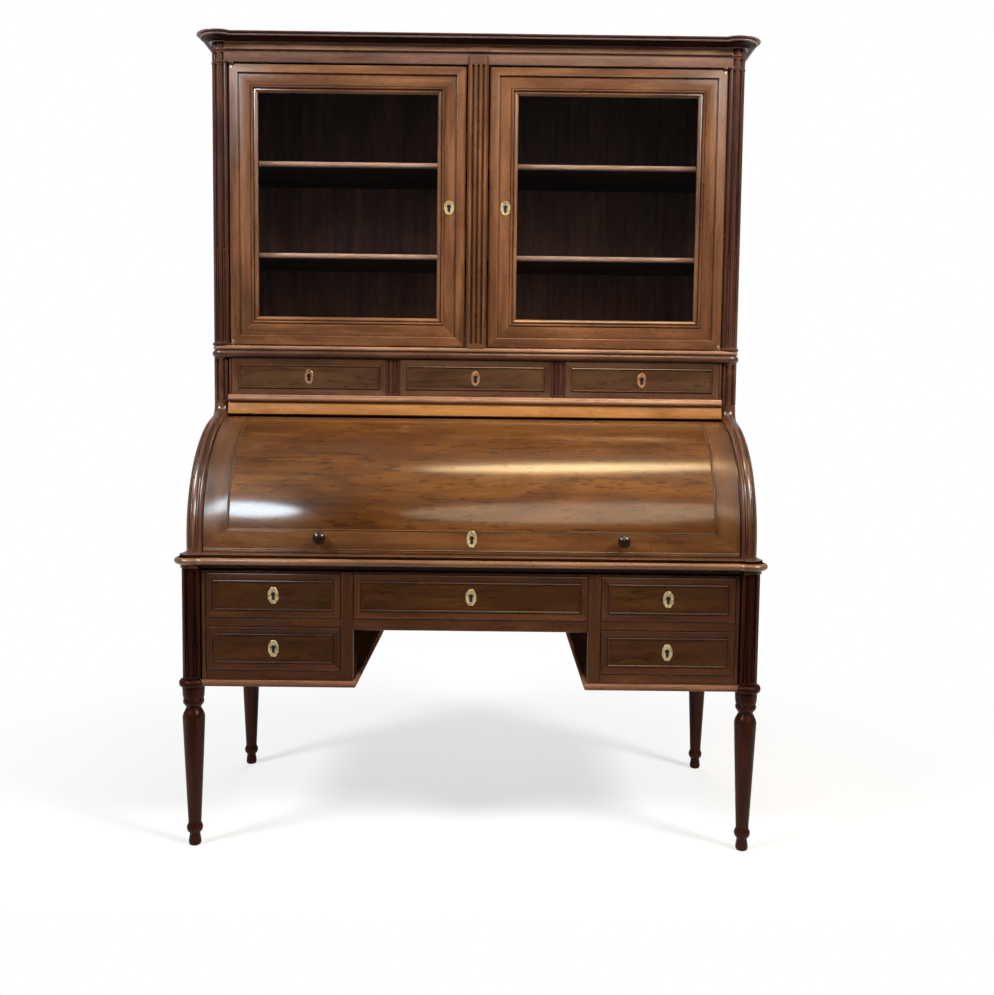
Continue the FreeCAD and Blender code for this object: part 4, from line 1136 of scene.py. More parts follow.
@dataclass(frozen=True)
class WritingTop:
    """The writing level: side arms with round corners, bed, rear board and the slide."""

    inner: float = 0.691
    outer: float = 0.751
    centre: Pair = (0.7095, -0.316)
    lobe: float = 0.0445
    low: float = 0.725
    high: float = 0.76
    edge_low: float = 0.7345
    nose_high: float = 0.752
    quirk: float = 0.0135
    bed_high: float = 0.738
    bed_near: float = -0.325
    bed_far: float = 0.1
    far: float = 0.3605
    under: float = 0.0145
    ease: float = 0.0006
    joint: float = 0.002
    slide_ease: float = 0.0004
    lobe_steps: int = 24
    nose_steps: int = 12
    swell_steps: int = 6
    tooling: Profile = ((0.012, 0.0012), (0.016, 0.003), (0.0215, 0.0008))
    tooled: Profile = ((0, -0.0002), (0, 0.0001), (1, 0.0001), (1, -0.0002))

    def arm(self, sign: int) -> Outline:
        """Gives the plan of one arm, round at its front corner.

        Args:
            sign: -1 for the left arm, 1 for the right one.

        Returns:
            The outline.
        """
        x, y = self.centre
        first = -math.pi + math.acos((x - self.inner) / self.lobe)
        last = math.acos((self.outer - x) / self.lobe)
        plan = [(x + self.lobe * math.cos(t), y + self.lobe * math.sin(t), -math.cos(t), -math.sin(t))
                for t in spread(first, last, self.lobe_steps)]
        plan[0] = (plan[0][0], plan[0][1], 0.0, 1.0)
        plan += [(self.outer, self.far, -1.0, 0.0), (self.inner, self.far, 0.0, 0.0)]
        return [(sign * px, py, sign * dx, dy) for px, py, dx, dy in plan]

    def moulding(self, start: Sequence[Pair] = ()) -> tuple[list[Pair], list[int]]:
        """Gives the profile of the edge, a round nose under a sunk step, and the finish number of each part; the step
        and the flat top behind it get darker finishes, as painted shade.

        Args:
            start: Points below the nose.

        Returns:
            The inset and height pairs, and a finish number for each step between them.
        """
        nose = [*start, *half_round(self.edge_low, self.nose_high, self.nose_steps)]
        step = [(self.quirk, self.nose_high), (self.quirk, self.high - self.ease), (self.quirk + self.ease, self.high)]
        return [*nose, *step], [0] * (len(nose) - 1) + [1, 1, 2]

    def build(self) -> None:
        """Makes the fixed top and the slide."""
        draft = Draft()
        underside = ((self.under, self.low), (self.under, self.edge_low))
        for sign in (-1, 1):
            draft.paint(Axis.Y).slab(self.arm(sign), *self.moulding(underside))
        draft.paint(Axis.X, 2).board((-self.inner, self.bed_near, self.low), (self.inner, self.bed_far, self.bed_high))
        draft.paint(Axis.X, 2).board((-self.inner, self.bed_far, self.low), (self.inner, self.far, self.high))
        draft.make("desk_top_moulded", "carcass", "mahogany", TOP_FINISHES, "desk_top")
        self.slide()

    def slide(self) -> None:
        """Makes the pull-out slide with its rounded nose, and its tooled leather."""
        low, high = span("writing_slide_board")
        pad_low, pad_high = span("writing_slide_leather")
        x, y = self.centre
        turns = spread(math.pi + math.acos((x - high.x) / self.lobe), math.pi + math.asin((y - low.y) / self.lobe),
                       self.swell_steps)
        swell = [(x + self.lobe * math.cos(t), y + self.lobe * math.sin(t)) for t in turns]
        nose = [(px, py, 0.0, 1.0) for px, py in reversed(swell)]
        nose = [(-px, py, dx, dy) for px, py, dx, dy in reversed(nose)] + nose
        near = self.bed_near - self.joint
        rim = [*nose, (high.x, near, 0.0, 0.0), (low.x, near, 0.0, 0.0)]
        draft = Draft()
        draft.paint(Axis.X).slab(rim, *self.moulding())
        draft.paint(Axis.X, 2).board((low.x, near, low.z), (high.x, pad_low.y, high.z), 0.0)
        for grain, start, end in ((Axis.Y, (low.x, pad_low.y), (pad_low.x, high.y, high.z)),
                                  (Axis.Y, (pad_high.x, pad_low.y), (high.x, high.y, high.z)),
                                  (Axis.X, (pad_low.x, pad_high.y), (pad_high.x, high.y, high.z)),
                                  (Axis.X, (pad_low.x, pad_low.y), (pad_high.x, pad_high.y, pad_low.z))):
            draft.paint(grain, 2).board((*start, low.z), end, self.slide_ease)
        draft.make("writing_slide_nosed_board", "writing_slide", "mahogany", TOP_FINISHES, "writing_slide_board")
        draft = Draft()
        draft.paint(Axis.X).board(pad_low, pad_high, self.slide_ease)
        for inset, wide in self.tooling:
            outer = ((pad_low.x + inset, pad_low.y + inset), (pad_high.x - inset, pad_high.y - inset))
            inner = ((outer[0][0] + wide, outer[0][1] + wide), (outer[1][0] - wide, outer[1][1] - wide))
            draft.mitred(above(pad_high.z), outer, inner, self.tooled, Axis.X, look=1)
        draft.make("writing_slide_tooled_leather", "writing_slide", "leather", [LEATHER, GILT], "writing_slide_leather")


def planks(node: str, name: str, count: int, edge: float) -> None:
    """Makes the upright boards of a back that stands for a node.

    Args:
        node: The node.
        name: Name of the piece.
        count: Number of boards.
        edge: Width of their eased edges.
    """
    low, high = span(node)
    draft = Draft()
    joints = spread(low.x, high.x, count)
    for x0, x1 in zip(joints, joints[1:]):
        draft.paint(Axis.Z).board((x0, low.y, low.z), (x1, high.y, high.z), edge)
    draft.make(name, "carcass", "oak", [BACK_BOARDS], node)


@dataclass(frozen=True)
class CylinderCase:
    """The curved case sides with fluted edges, the rail above the lid and the back."""

    axis_y: float = 0.0405
    axis_z: float = 0.785
    bend: float = 0.335
    inner: float = 0.691
    outer: float = 0.736
    low: float = 0.76
    neck_y: float = -0.0015
    neck_low: float = 1.146
    high: float = 1.272
    cable: float = 0.955
    far: float = 0.3605
    bend_end: float = math.radians(74)
    bend_steps: int = 44
    bend_flutes_end: float = 1.092
    neck_steps: int = 12
    neck_pull: Pair = (0.034, 0.026)
    edge_steps: int = 96
    foot_marks: tuple[float, ...] = (0, 0.004, 0.014)
    neck_mark: float = 0.006
    neck_margin: float = 0.004
    flute_start: float = 0.012
    flute_stop: float = 0.005
    rail_face: Profile = ((0, 0.003), (0.0012, 0.012), (0.005, 0.024), (0.0085, 0.034))
    rail_depth: float = 0.009
    rail_under: float = 0.003
    plank_count: int = 8
    plank_ease: float = 0.0015

    def path(self) -> Outline:
        """Gives the front edge from the writing top to the waist: depth, height and the way out.

        Returns:
            The points, from the bottom up.
        """
        out = [(self.axis_y - self.bend, self.low + rise, -1.0, 0.0) for rise in self.foot_marks]
        for t in spread(0, self.bend_end, self.bend_steps):
            out.append((self.axis_y - self.bend * math.cos(t), self.axis_z + self.bend * math.sin(t),
                        -math.cos(t), math.sin(t)))
        start, end = Vector(out[-1][:2]), Vector((self.neck_y, self.neck_low))
        first = start + Vector((math.sin(self.bend_end), math.cos(self.bend_end))) * self.neck_pull[0]
        second = end - Vector((0, self.neck_pull[1]))
        for t in spread(0, 1, self.neck_steps)[1:]:
            p = start * (1 - t)**3 + first * 3 * t * (1 - t)**2 + second * 3 * t**2 * (1 - t) + end * t**3
            d = (first - start) * (1 - t)**2 + (second - first) * 2 * t * (1 - t) + (end - second) * t**2
            d.normalize()
            out.append((p[0], p[1], -d[1], d[0]))
        flutes = Fluting(self.neck_low + self.neck_mark, self.high - self.neck_margin, self.neck_low)
        levels = flutes.levels(self.neck_margin)[6:]
        return out + [(self.neck_y, z, -1.0, 0.0) for z in [*levels, self.high]]

    def sides(self) -> None:
        """Makes the two case sides, each a board behind a half-round fluted edge."""
        path = self.path()
        run = [0.0]
        for a, b in zip(path, path[1:]):
            run.append(run[-1] + math.dist(a[:2], b[:2]))

        def past(height: float) -> float:
            """Gives the way along the edge to its first point past a height."""
            return next(s for s, p in zip(run, path) if p[1] > height)

        bend_stop, neck_start = past(self.bend_flutes_end), past(self.neck_low + self.neck_margin)
        lower = Fluting(self.flute_start, bend_stop, past(self.cable))
        upper = Fluting(neck_start, run[-1] - self.flute_stop, 0.0)
        r = (self.outer - self.inner) / 2

        def reach(angle: float, i: float) -> float:
            """Gives the radius of the fluted edge.

            Args:
                angle: Angle round the half-round.
                i: Number of the point of the path.

            Returns:
                The radius.
            """
            along_edge = run[int(i)]
            flutes = lower if along_edge < (bend_stop + neck_start) / 2 else upper
            return flutes.radius(angle, along_edge, r)

        for label, sign in (("left", -1), ("right", 1)):
            middle = sign * (self.inner + self.outer) / 2

            def edge(angle: float, i: float, radius: float) -> Vector:
                """Places a point of the half-round edge.

                Args:
                    angle: Angle round the half-round.
                    i: Number of the point of the path.
                    radius: Distance from its middle line.

                Returns:
                    The point.
                """
                y, z, out_y, out_z = path[int(i)]
                off = radius * math.cos(angle) - r
                return Vector((middle + radius * math.sin(angle), y + out_y * off, z + out_z * off))

            draft = Draft()
            draft.unroll = self.unroll
            turns = spread(-math.pi / 2, math.pi / 2, self.edge_steps)
            draft.paint(Axis.Z).relief(edge, turns, range(len(path)), reach, 0.0)
            draft.unroll = lambda p: p
            section = [(y - out_y * r, z - out_z * r) for y, z, out_y, out_z in path]
            section += [(self.far, self.high), (self.far, self.low)]
            draft.paint(Axis.Z, 1).run(section, *sorted((sign * self.inner, sign * self.outer)))
            draft.make(f"cylinder_side_{label}_fluted", "carcass", "mahogany", [SIDE_MAHOGANY, MAHOGANY],
                       f"cylinder_side_{label}")

    def unroll(self, p: Vector) -> Vector:
        """Gives the place of a point of the curve laid out flat."""
        turn = math.atan2(p.z - self.axis_z, self.axis_y - p.y)
        return Vector((p.x, math.hypot(p.y - self.axis_y, p.z - self.axis_z), self.bend * turn))

    def build(self) -> None:
        """Makes the sides, the moulded rail above the lid and the back."""
        self.sides()
        low, high = span("cylinder_top_rail")
        marks = [(low.y + depth, low.z + rise) for depth, rise in self.rail_face]
        face = smooth([*marks, (low.y + self.rail_depth, high.z)], 4)
        section = [(high.y, low.z), (low.y + self.rail_under, low.z), *face, (high.y, high.z)]
        draft = Draft()
        draft.paint(Axis.X).run(section, low.x, high.x)
        draft.make("cylinder_rail_moulded", "carcass", "mahogany", [GOLDEN_MAHOGANY], "cylinder_top_rail")
        planks("lower_case_back", "lower_back_planks", self.plank_count, self.plank_ease)


@dataclass(frozen=True)
class CylinderLid:
    """The curved lid: mitred frame, figured field, lip, knobs and lock."""

    case: CylinderCase
    radius: float = 0.327
    thick: float = 0.018
    half: float = 0.69
    stile: float = 0.066
    low: float = math.radians(-4.3)
    lip: float = math.radians(-2.35)
    field_low: float = math.radians(6.5)
    field_high: float = math.radians(76)
    high: float = math.radians(80)
    knob_across: float = 0.39
    knob_turn: float = math.radians(2.6)
    knob_sides: int = 40
    knob_neck: Profile = ((0, 0.0104), (0.002, 0.0108), (0.004, 0.0092), (0.007, 0.0068), (0.0095, 0.0072))
    knob_ball: Profile = ((0.01, 0.0092), (0.0132, 0.014), (0.0185, 0.0165), (0.0238, 0.0154), (0.0277, 0.0108),
                          (0.0294, 0.0055), (0.03, 0.0008))
    steps: int = 44
    field_sunk: float = 0.0008
    lip_bead: tuple[float, ...] = (-0.0006, 0, 0, 0, 0, -0.0008, 0.0004, 0.0011, 0.0004, -0.001)

    def place(self, u: float, v: float, w: float) -> Vector:
        """Places a point by its distance across, angle and height off the lid."""
        r = self.radius + w
        return Vector((u, self.case.axis_y - r * math.cos(v), self.case.axis_z + r * math.sin(v)))

    def build(self) -> None:
        """Makes the frame, the field, the knobs and the lock."""
        inside = self.half - self.stile
        draft = Draft()
        draft.unroll = self.case.unroll
        profile = ((0, -self.thick), (0, -0.0006), (0.012, 0), (0.895, 0), (0.905, -0.0011), (0.925, -0.0014),
                   (0.935, -0.0004), (0.95, 0.0007), (0.965, 0.001), (0.98, 0.0006), (0.992, -0.0006), (1, -0.0016),
                   (1, -self.thick))
        draft.mitred(self.place, ((-self.half, self.lip), (self.half, self.high)),
                     ((-inside, self.field_low), (inside, self.field_high)), profile, Axis.X, self.steps, stiles=1)
        rise = (self.lip - self.low) / (len(self.lip_bead) - 1)
        levels = [self.low + rise * k for k in range(len(self.lip_bead))]
        draft.paint(Axis.X).relief(self.place, (-self.half, self.half), levels,
                                   lambda u, v: self.lip_bead[round((v - self.low) / rise)], -self.thick)
        draft.make("cylinder_lid_frame", "cylinder", "mahogany", [LID_MAHOGANY, LID_STILES], "cylinder_frame")
        draft = Draft()
        draft.unroll = self.case.unroll
        draft.paint(Axis.X).relief(self.place, spread(-inside, inside, 8),
                                   spread(self.field_low, self.field_high, self.steps),
                                   lambda u, v: -self.field_sunk, -self.thick)
        draft.make("cylinder_lid_field", "cylinder", "figured_mahogany", [FIGURED_MAHOGANY], "cylinder_panel")
        self.knobs()
        low, high = span("cylinder_lock")
        plate = LockPlate()
        plate.build("cylinder_lock", "cylinder", front(low.y + plate.thick), (0.0, (low.z + high.z) / 2))

    def knobs(self) -> None:
        """Makes the two turned wooden knobs."""
        shape = [*smooth(self.knob_neck, 3), *smooth(self.knob_ball, 4)]
        draft = Draft()
        for sign in (-1, 1):
            foot = self.place(sign * self.knob_across, self.knob_turn, 0)
            lean = Matrix.Rotation(math.pi / 2 - self.knob_turn, 4, "X")
            draft.pose = Matrix.Translation(foot) @ lean
            draft.paint(Axis.Z).turned((0, 0), shape, self.knob_sides)
        draft.make("cylinder_turned_knobs", "cylinder", "dark_mahogany", [KNOB_MAHOGANY], "cylinder_knobs")


def flute_height(u: float, v: float, centres: Sequence[float], half: float, depth: float, ends: Pair) -> float:
    """Gives how far flutes are sunk into a flat face at one point.

    Args:
        u: Place across.
        v: Height.
        centres: Middle lines of the flutes.
        half: Half of a flute's width.
        depth: Depth of the flutes.
        ends: Heights of their lower and upper ends.

    Returns:
        The height off the face, 0 or less.
    """
    wide = narrowed(v, *ends, half)
    off = min(abs(u - c) for c in centres) / half
    return -depth * math.sqrt(1 - (off / wide) ** 2) if off < wide else 0.0


FLUTE_STEPS = 8  # Points on each half of a flute.
END_STEPS = 5  # Points on the rounded end of a flute.


def flute_stations(centres: Sequence[float], half: float, limits: Pair) -> list[float]:
    """Gives the places across a fluted face where its grid needs points.

    Args:
        centres: Middle lines of the flutes.
        half: Half of a flute's width.
        limits: Both sides of the face.

    Returns:
        The places, in order.
    """
    turns = [math.pi * k / (2 * FLUTE_STEPS) for k in range(-FLUTE_STEPS, FLUTE_STEPS + 1)]
    marks = {round(c + half * math.sin(t), 6) for c in centres for t in turns}
    return sorted({*limits, *marks})


def end_stations(ends: Pair, half: float, limits: Pair) -> list[float]:
    """Gives the heights along a fluted face where its grid needs points.

    Args:
        ends: Heights of the flutes' lower and upper ends.
        half: Half of a flute's width.
        limits: Lower and upper edge of the face.

    Returns:
        The heights, in order.
    """
    steps = range(-1, END_STEPS + 1)
    marks = {round(e + s * half * k / END_STEPS, 6) for e, s in zip(ends, (1, -1)) for k in steps}
    return sorted({*limits, *marks, *spread(*ends, 6)})


@dataclass(frozen=True)
class DrawerRow:
    """The row of three drawers above the lid, between fluted dividers."""

    face: float = 0.0025
    floor_low: float = 1.15
    floor_high: float = 1.169
    high: float = 1.272
    near: float = -0.0135
    far: float = 0.338
    half: float = 0.691
    dividers: Pair = (0.213, 0.251)
    end: float = 0.684
    flute: float = 0.0042
    flute_pitch: float = 0.0115
    flute_depth: float = 0.0032
    flute_margin: float = 0.006
    bead_drop: float = 0.005
    bead_steps: int = 8
    floor_step: Profile = ((0.0065, -0.0045), (0.008, -0.002), (0.011, 0))

    def build(self) -> None:
        """Makes the boards of the row and its drawers."""
        bead = half_round(self.floor_low, self.floor_high - self.bead_drop, self.bead_steps)
        section = [*((self.near + inset, z) for inset, z in bead),
                   *((self.near + inset, self.floor_high + rise) for inset, rise in self.floor_step),
                   (self.far, self.floor_high), (self.far, self.floor_low)]
        draft = Draft()
        # Painted light: the bead and the floor take the lighter copy of mahogany, for light on their upper side.
        draft.paint(Axis.X).run(section, -self.half, self.half)
        for sign in (-1, 1):
            low, high = sorted(sign * d for d in self.dividers)
            middle = (low + high) / 2
            centres = [middle - self.flute_pitch, middle, middle + self.flute_pitch]
            ends = (self.floor_high + self.flute_margin, self.high - self.flute_margin)
            draft.paint(Axis.Z, 1).relief(
                front(self.face), flute_stations(centres, self.flute, (low, high)),
                end_stations(ends, self.flute, (self.floor_high, self.high)),
                lambda u, v: flute_height(u, v, centres, self.flute, self.flute_depth, ends), self.face - self.far)
            x0, x1 = sorted((sign * self.end, sign * self.half))
            draft.paint(Axis.Z, 1).board((x0, self.face, self.floor_high), (x1, self.far, self.high))
        draft.make("drawer_row_moulded_boards", "carcass", "mahogany", [LIT_MAHOGANY, COLUMN_MAHOGANY],
                   "drawer_row_boards")
        ring = LockPlate(half_width=0.0125, half_height=0.0205, bow=0.0062, slot=0.0042, corners=2.0, clip=2.0)
        for name in ("row_left", "row_centre", "row_right"):
            Drawer(f"{name}_drawer", ROW_MAHOGANY, ROW_FIGURED, COPPER_BRASS, ring).build()


@dataclass(frozen=True)
class Bookcase:
    """The glazed upper case: waist, columns, sides, back, shelves, pilaster, frieze and cornice."""

    low: float = 1.305
    frieze: float = 2.078
    groove: Pair = (2.104, 2.112)
    high: float = 2.13
    far: float = 0.3605
    column: Pair = (0.712, 0.0225)
    column_radius: float = 0.024
    column_sides: int = 192
    cable: float = 1.573
    column_base: Profile = ((0, 0.0035), (0.002, 0.0043), (0.005, 0.0043), (0.008, 0.002), (0.009, 0))
    base_rise: float = 0.0095
    neck_drop: float = 0.005
    neck_rings: tuple[float, ...] = (-0.002, -0.001, 0, 0.001, 0.002)
    neck_out: float = 0.002
    neck_slope: float = 0.6
    flute_rise: float = 0.012
    flute_drop: float = 0.0065
    short_margin: float = 0.002
    top_margin: float = 0.001
    plank_count: int = 9
    plank_ease: float = 0.0016
    panel_thick: float = 0.022
    shelf_thick: float = 0.013
    shelf_ease: float = 0.0005
    lipping: float = 0.012
    lipping_out: float = 0.6
    lipping_steps: int = 8
    pilaster_flutes: tuple[float, ...] = (-0.0138, 0.0, 0.0138)
    pilaster_flute: float = 0.0043
    pilaster_flute_depth: float = 0.0055
    pilaster_step: float = 0.0232
    pilaster_sunk: float = 0.0035
    tablet_half: float = 0.0272
    strip_across: Pair = (0.6875, 0.6995)
    strip_depth: Pair = (0.0165, 0.0285)
    waist_half: float = 0.738
    waist_near: float = -0.0075
    waist_lobe: float = 0.029
    crown_half: float = 0.772
    crown_near: float = -0.0305
    crown_lobe: float = 0.065
    waist_profile: Profile = (
        (0.0065, 1.272), (0.0035, 1.2735), (0.0008, 1.277), (0, 1.2815), (0.0004, 1.286), (0.0026, 1.2895),
        (0.0052, 1.2912), (0.0056, 1.2935), (0.0035, 1.2945), (0.002, 1.2975), (0.0024, 1.301), (0.005, 1.304),
        (0.0075, 1.305),
    )
    waist_quirk: float = 1.2935
    crown_bead: Pair = (2.1404, 2.1465)
    crown_profile: Profile = (
        (0.0325, 2.13), (0.032, 2.1312), (0.03, 2.1343), (0.0255, 2.1374), (0.019, 2.1393), (0.0135, 2.1399),
        (0.012, 2.14), (0.0118, 2.1404), (0.0098, 2.1408), (0.0082, 2.1424), (0.0082, 2.1444), (0.0096, 2.146),
        (0.0112, 2.1465), (0.0112, 2.147), (0.0062, 2.1473), (0.0024, 2.148), (0.0004, 2.1492), (0.0006, 2.1503),
        (0.0022, 2.151),
    )

    def mouldings(self) -> None:
        """Makes the waist and the cornice, both with round corner lobes."""
        draft = Draft()
        plan = lobed(self.waist_half, self.waist_near, self.far, self.column, self.waist_lobe)
        # Painted light and shade: the upper fillet takes the lighter copy of mahogany, the part below the quirk the
        # darker side finish.
        looks = [1 if z < self.waist_quirk else 0 for _, z in self.waist_profile]
        draft.paint(Axis.X).slab(plan, self.waist_profile, looks)
        draft.make("waist_moulding", "carcass", "mahogany", [LIT_MAHOGANY, SIDE_MAHOGANY], "waist_board")
        draft = Draft()
        plan = lobed(self.crown_half, self.crown_near, self.far, self.column, self.crown_lobe)
        low, high = self.crown_bead
        # Painted light and shade: the crown and the bead take the lighter copies of mahogany, the cove the dark one.
        looks = [1 if z < low else 2 if z < high else 0 for _, z in self.crown_profile]
        draft.paint(Axis.X).slab(plan, self.crown_profile, looks)
        draft.make("cornice_moulding", "carcass", "mahogany", [LIT_CORNICE_MAHOGANY, DARK_MAHOGANY, LIT_CORNICE_BEAD],
                   "cornice")

    def columns(self) -> None:
        """Makes the two corner columns: cabled flutes, neck rings and short flutes above."""
        r = self.column_radius
        low, high = self.groove
        shafts = [Fluting(self.low + self.flute_rise, self.frieze - self.flute_drop, self.cable),
                  Fluting(self.frieze + self.short_margin, low - self.short_margin, 0),
                  Fluting(high + self.top_margin, self.high - self.top_margin, 0)]
        rings = [(self.low + rise, r + out) for rise, out in self.column_base]
        starts, ends = (self.low + self.base_rise, self.frieze, high), (self.frieze - self.neck_drop, low, self.high)
        for shaft, start, end in zip(shafts, starts, ends):
            rings += [(z, r) for z in [start, *(z for z in shaft.levels(0.003) if start < z < end), end]]
        for middle in (self.frieze - self.neck_drop / 2, (low + high) / 2):
            rings += [(middle + t, r + self.neck_out - abs(t) * self.neck_slope) for t in self.neck_rings]
        rings.sort(key=lambda ring: ring[0])

        def radius(angle: float, z: float, plain: float) -> float:
            """Gives the fluted radius at a height."""
            return min(shaft.radius(angle, z, plain) for shaft in shafts)

        for label, sign in (("left", -1), ("right", 1)):
            draft = Draft()
            draft.paint(Axis.Z).turned((sign * self.column[0], self.column[1]), rings, self.column_sides, radius)
            draft.make(f"bookcase_column_{label}_fluted", "carcass", "dark_mahogany", [COLUMN_MAHOGANY],
                       f"bookcase_column_{label}")

    def case(self) -> None:
        """Makes the framed sides, the planked back and the nosed shelves."""
        low, high = span("bookcase_sides")
        draft = Draft()
        middle = (low.z + high.z) / 2
        for sign in (-1, 1):
            for z0, z1 in ((low.z, middle), (middle, high.z)):
                draft.framed(side(sign * high.x, sign), (low.y, z0), (high.y, z1), PANEL_EDGE, self.panel_thick,
                             Axis.Y, (0, 1), Axis.Z)
        draft.make("bookcase_side_frames", "carcass", "mahogany", [MAHOGANY, FIGURED_MAHOGANY], "bookcase_sides")
        planks("bookcase_back", "bookcase_back_planks", self.plank_count, self.plank_ease)
        low, high = span("bookcase_shelves")
        draft = Draft()
        for z in (low.z, high.z - self.shelf_thick):
            back, top = low.y + self.lipping, z + self.shelf_thick
            nose = [(low.y + inset * self.lipping_out, level)
                    for inset, level in half_round(z, top, self.lipping_steps)]
            draft.paint(Axis.X).run([*nose, (back, top), (back, z)], low.x, high.x)
            draft.paint(Axis.X, 1).board((low.x, back, z), (high.x, high.y, top), self.shelf_ease)
        draft.make("bookcase_lipped_shelves", "carcass", "oak", [LIPPING, SHADED_MAHOGANY], "bookcase_shelves")

    def faces(self) -> None:
        """Makes the fluted centre pilaster and the banded frieze."""
        low, high = span("centre_pilaster")
        centres, flute, step = self.pilaster_flutes, self.pilaster_flute, self.pilaster_step
        ends = (low.z + 0.012, high.z - 0.0015)

        def height(u: float, v: float) -> float:
            """Gives the carved height of the pilaster's face.

            Args:
                u: Place across.
                v: Height.

            Returns:
                The height off the face, 0 or less.
            """
            if abs(u) > step + 0.0001:
                return -self.pilaster_sunk
            return flute_height(u, v, centres, flute, self.pilaster_flute_depth, ends)

        draft = Draft()
        stations = {*flute_stations(centres, flute, (low.x, high.x)), -step - 0.0006, -step, step, step + 0.0006}
        levels = end_stations(ends, flute, (low.z, high.z))
        draft.paint(Axis.Z).relief(front(low.y), sorted(stations), levels, height, low.y - high.y)
        draft.make("centre_pilaster_fluted", "carcass", "mahogany", [MAHOGANY], "centre_pilaster")
        low, high = span("bookcase_frieze")
        y, z, (dip, rise) = low.y, self.frieze, self.groove
        section = [(high.y, z), (y + 0.001, z), (y, z + 0.001), (y, dip - 0.0015), (y + 0.0008, dip),
                   (y + 0.0036, dip + 0.0008), (y + 0.0046, dip + 0.004), (y + 0.003, rise - 0.0012),
                   (y + 0.0008, rise), (high.y, rise)]
        upper = [(high.y, rise), (y + 0.0008, rise), (y, rise + 0.0006), (y, high.z), (high.y, high.z)]
        draft = Draft()
        draft.paint(Axis.X).run(section, low.x, high.x)
        # Painted light: the upper band and the tablet take the lighter copy of mahogany, where the cornice's shadow
        # falls.
        draft.paint(Axis.X, 1).run(upper, low.x, high.x)
        draft.paint(Axis.Z).board((-step, -self.pilaster_sunk, z), (step, y + 0.002, dip - 0.001), 0.0008)
        draft.paint(Axis.X, 1).board((-self.tablet_half, y - 0.0016, rise), (self.tablet_half, y + 0.002, self.high),
                                     0.0006)
        near, far = self.strip_depth
        for sign in (-1, 1):
            x0, x1 = sorted(sign * x for x in self.strip_across)
            draft.paint(Axis.Z).board((x0, near, self.low), (x1, far, z))
        draft.make("bookcase_frieze_banded", "carcass", "mahogany", [FRIEZE_MAHOGANY, LIT_MAHOGANY], "bookcase_frieze")

    def build(self) -> None:
        """Makes the upper case and its two doors."""
        self.mouldings()
        self.columns()
        self.case()
        self.faces()
        for label in ("left", "right"):
            GlazedDoor(label).build()


@dataclass(frozen=True)
class GlazedDoor:
    """A door: mitred moulded frame, lock and pivot knuckles round its carried pane and beads."""

    label: str
    flat: float = 0.0045
    top_rail: float = 0.076
    stile: float = 0.078
    glass_depth: float = 0.011
    knuckle: float = 0.0075
    knuckle_sides: int = 32
    knuckle_rings: int = 14
    knuckle_turn: float = 1.45
    pivot: Pair = (0.6805, 0.0085)
    pivot_gap: float = 0.002

    def build(self) -> None:
        """Makes the frame, the lock and the pivot knuckles."""
        name = f"{self.label}_door"
        low, high = span(f"{name}_frame")
        pane_low = span(f"{name}_glass")[0]
        sight = ((low.x + self.stile, low.z + self.stile), (high.x - self.stile, high.z - self.top_rail))
        rebate = 1 - (sight[0][0] - pane_low.x) / self.stile
        thick = high.y - low.y
        flat = -self.flat
        profile = [(0, -thick), (0, -0.0062), (0.01, -0.0052), (0.29, -0.0004), (0.302, 0), (0.312, -0.0004),
                   (0.322, -0.0034), (0.34, flat - 0.0006), (0.36, flat), (0.74, flat), (0.752, flat - 0.0016),
                   (0.762, flat + 0.0006), (0.785, flat + 0.0022), (0.81, flat + 0.0022), (0.835, flat + 0.0004),
                   (0.845, flat - 0.0024), (0.868, flat - 0.0024), (0.88, flat - 0.0008), (0.915, flat + 0.0002),
                   (0.955, flat - 0.0012), (1, flat - 0.0048),
                   (1, -self.glass_depth), (rebate, -self.glass_depth), (rebate, -thick)]
        draft = Draft()
        draft.mitred(front(low.y), ((low.x, low.z), (high.x, high.z)), sight, profile, Axis.X)
        draft.make(f"{name}_moulded_frame", name, "mahogany", [MAHOGANY], f"{name}_frame")
        key_low, key_high = span(f"{name}_lock")
        middle = ((key_low.x + key_high.x) / 2, (key_low.z + key_high.z) / 2)
        plate = LockPlate(half_width=0.0135, half_height=0.0195, corners=2.1, clip=2.0)
        plate.build(f"{name}_lock", name, front(low.y + self.flat), middle)
        draft = Draft()
        across = math.copysign(self.pivot[0], low.x + high.x)
        for z in (low.z - self.pivot_gap, high.z + self.pivot_gap):
            turns = spread(-self.knuckle_turn, self.knuckle_turn, self.knuckle_rings)
            ball = [(z + self.knuckle * math.sin(t), self.knuckle * math.cos(t)) for t in turns]
            draft.paint(Axis.Z).turned((across, self.pivot[1]), ball, self.knuckle_sides)
        draft.make(f"{name}_pivot_knuckles", "carcass", "brass", [DULL_BRASS])


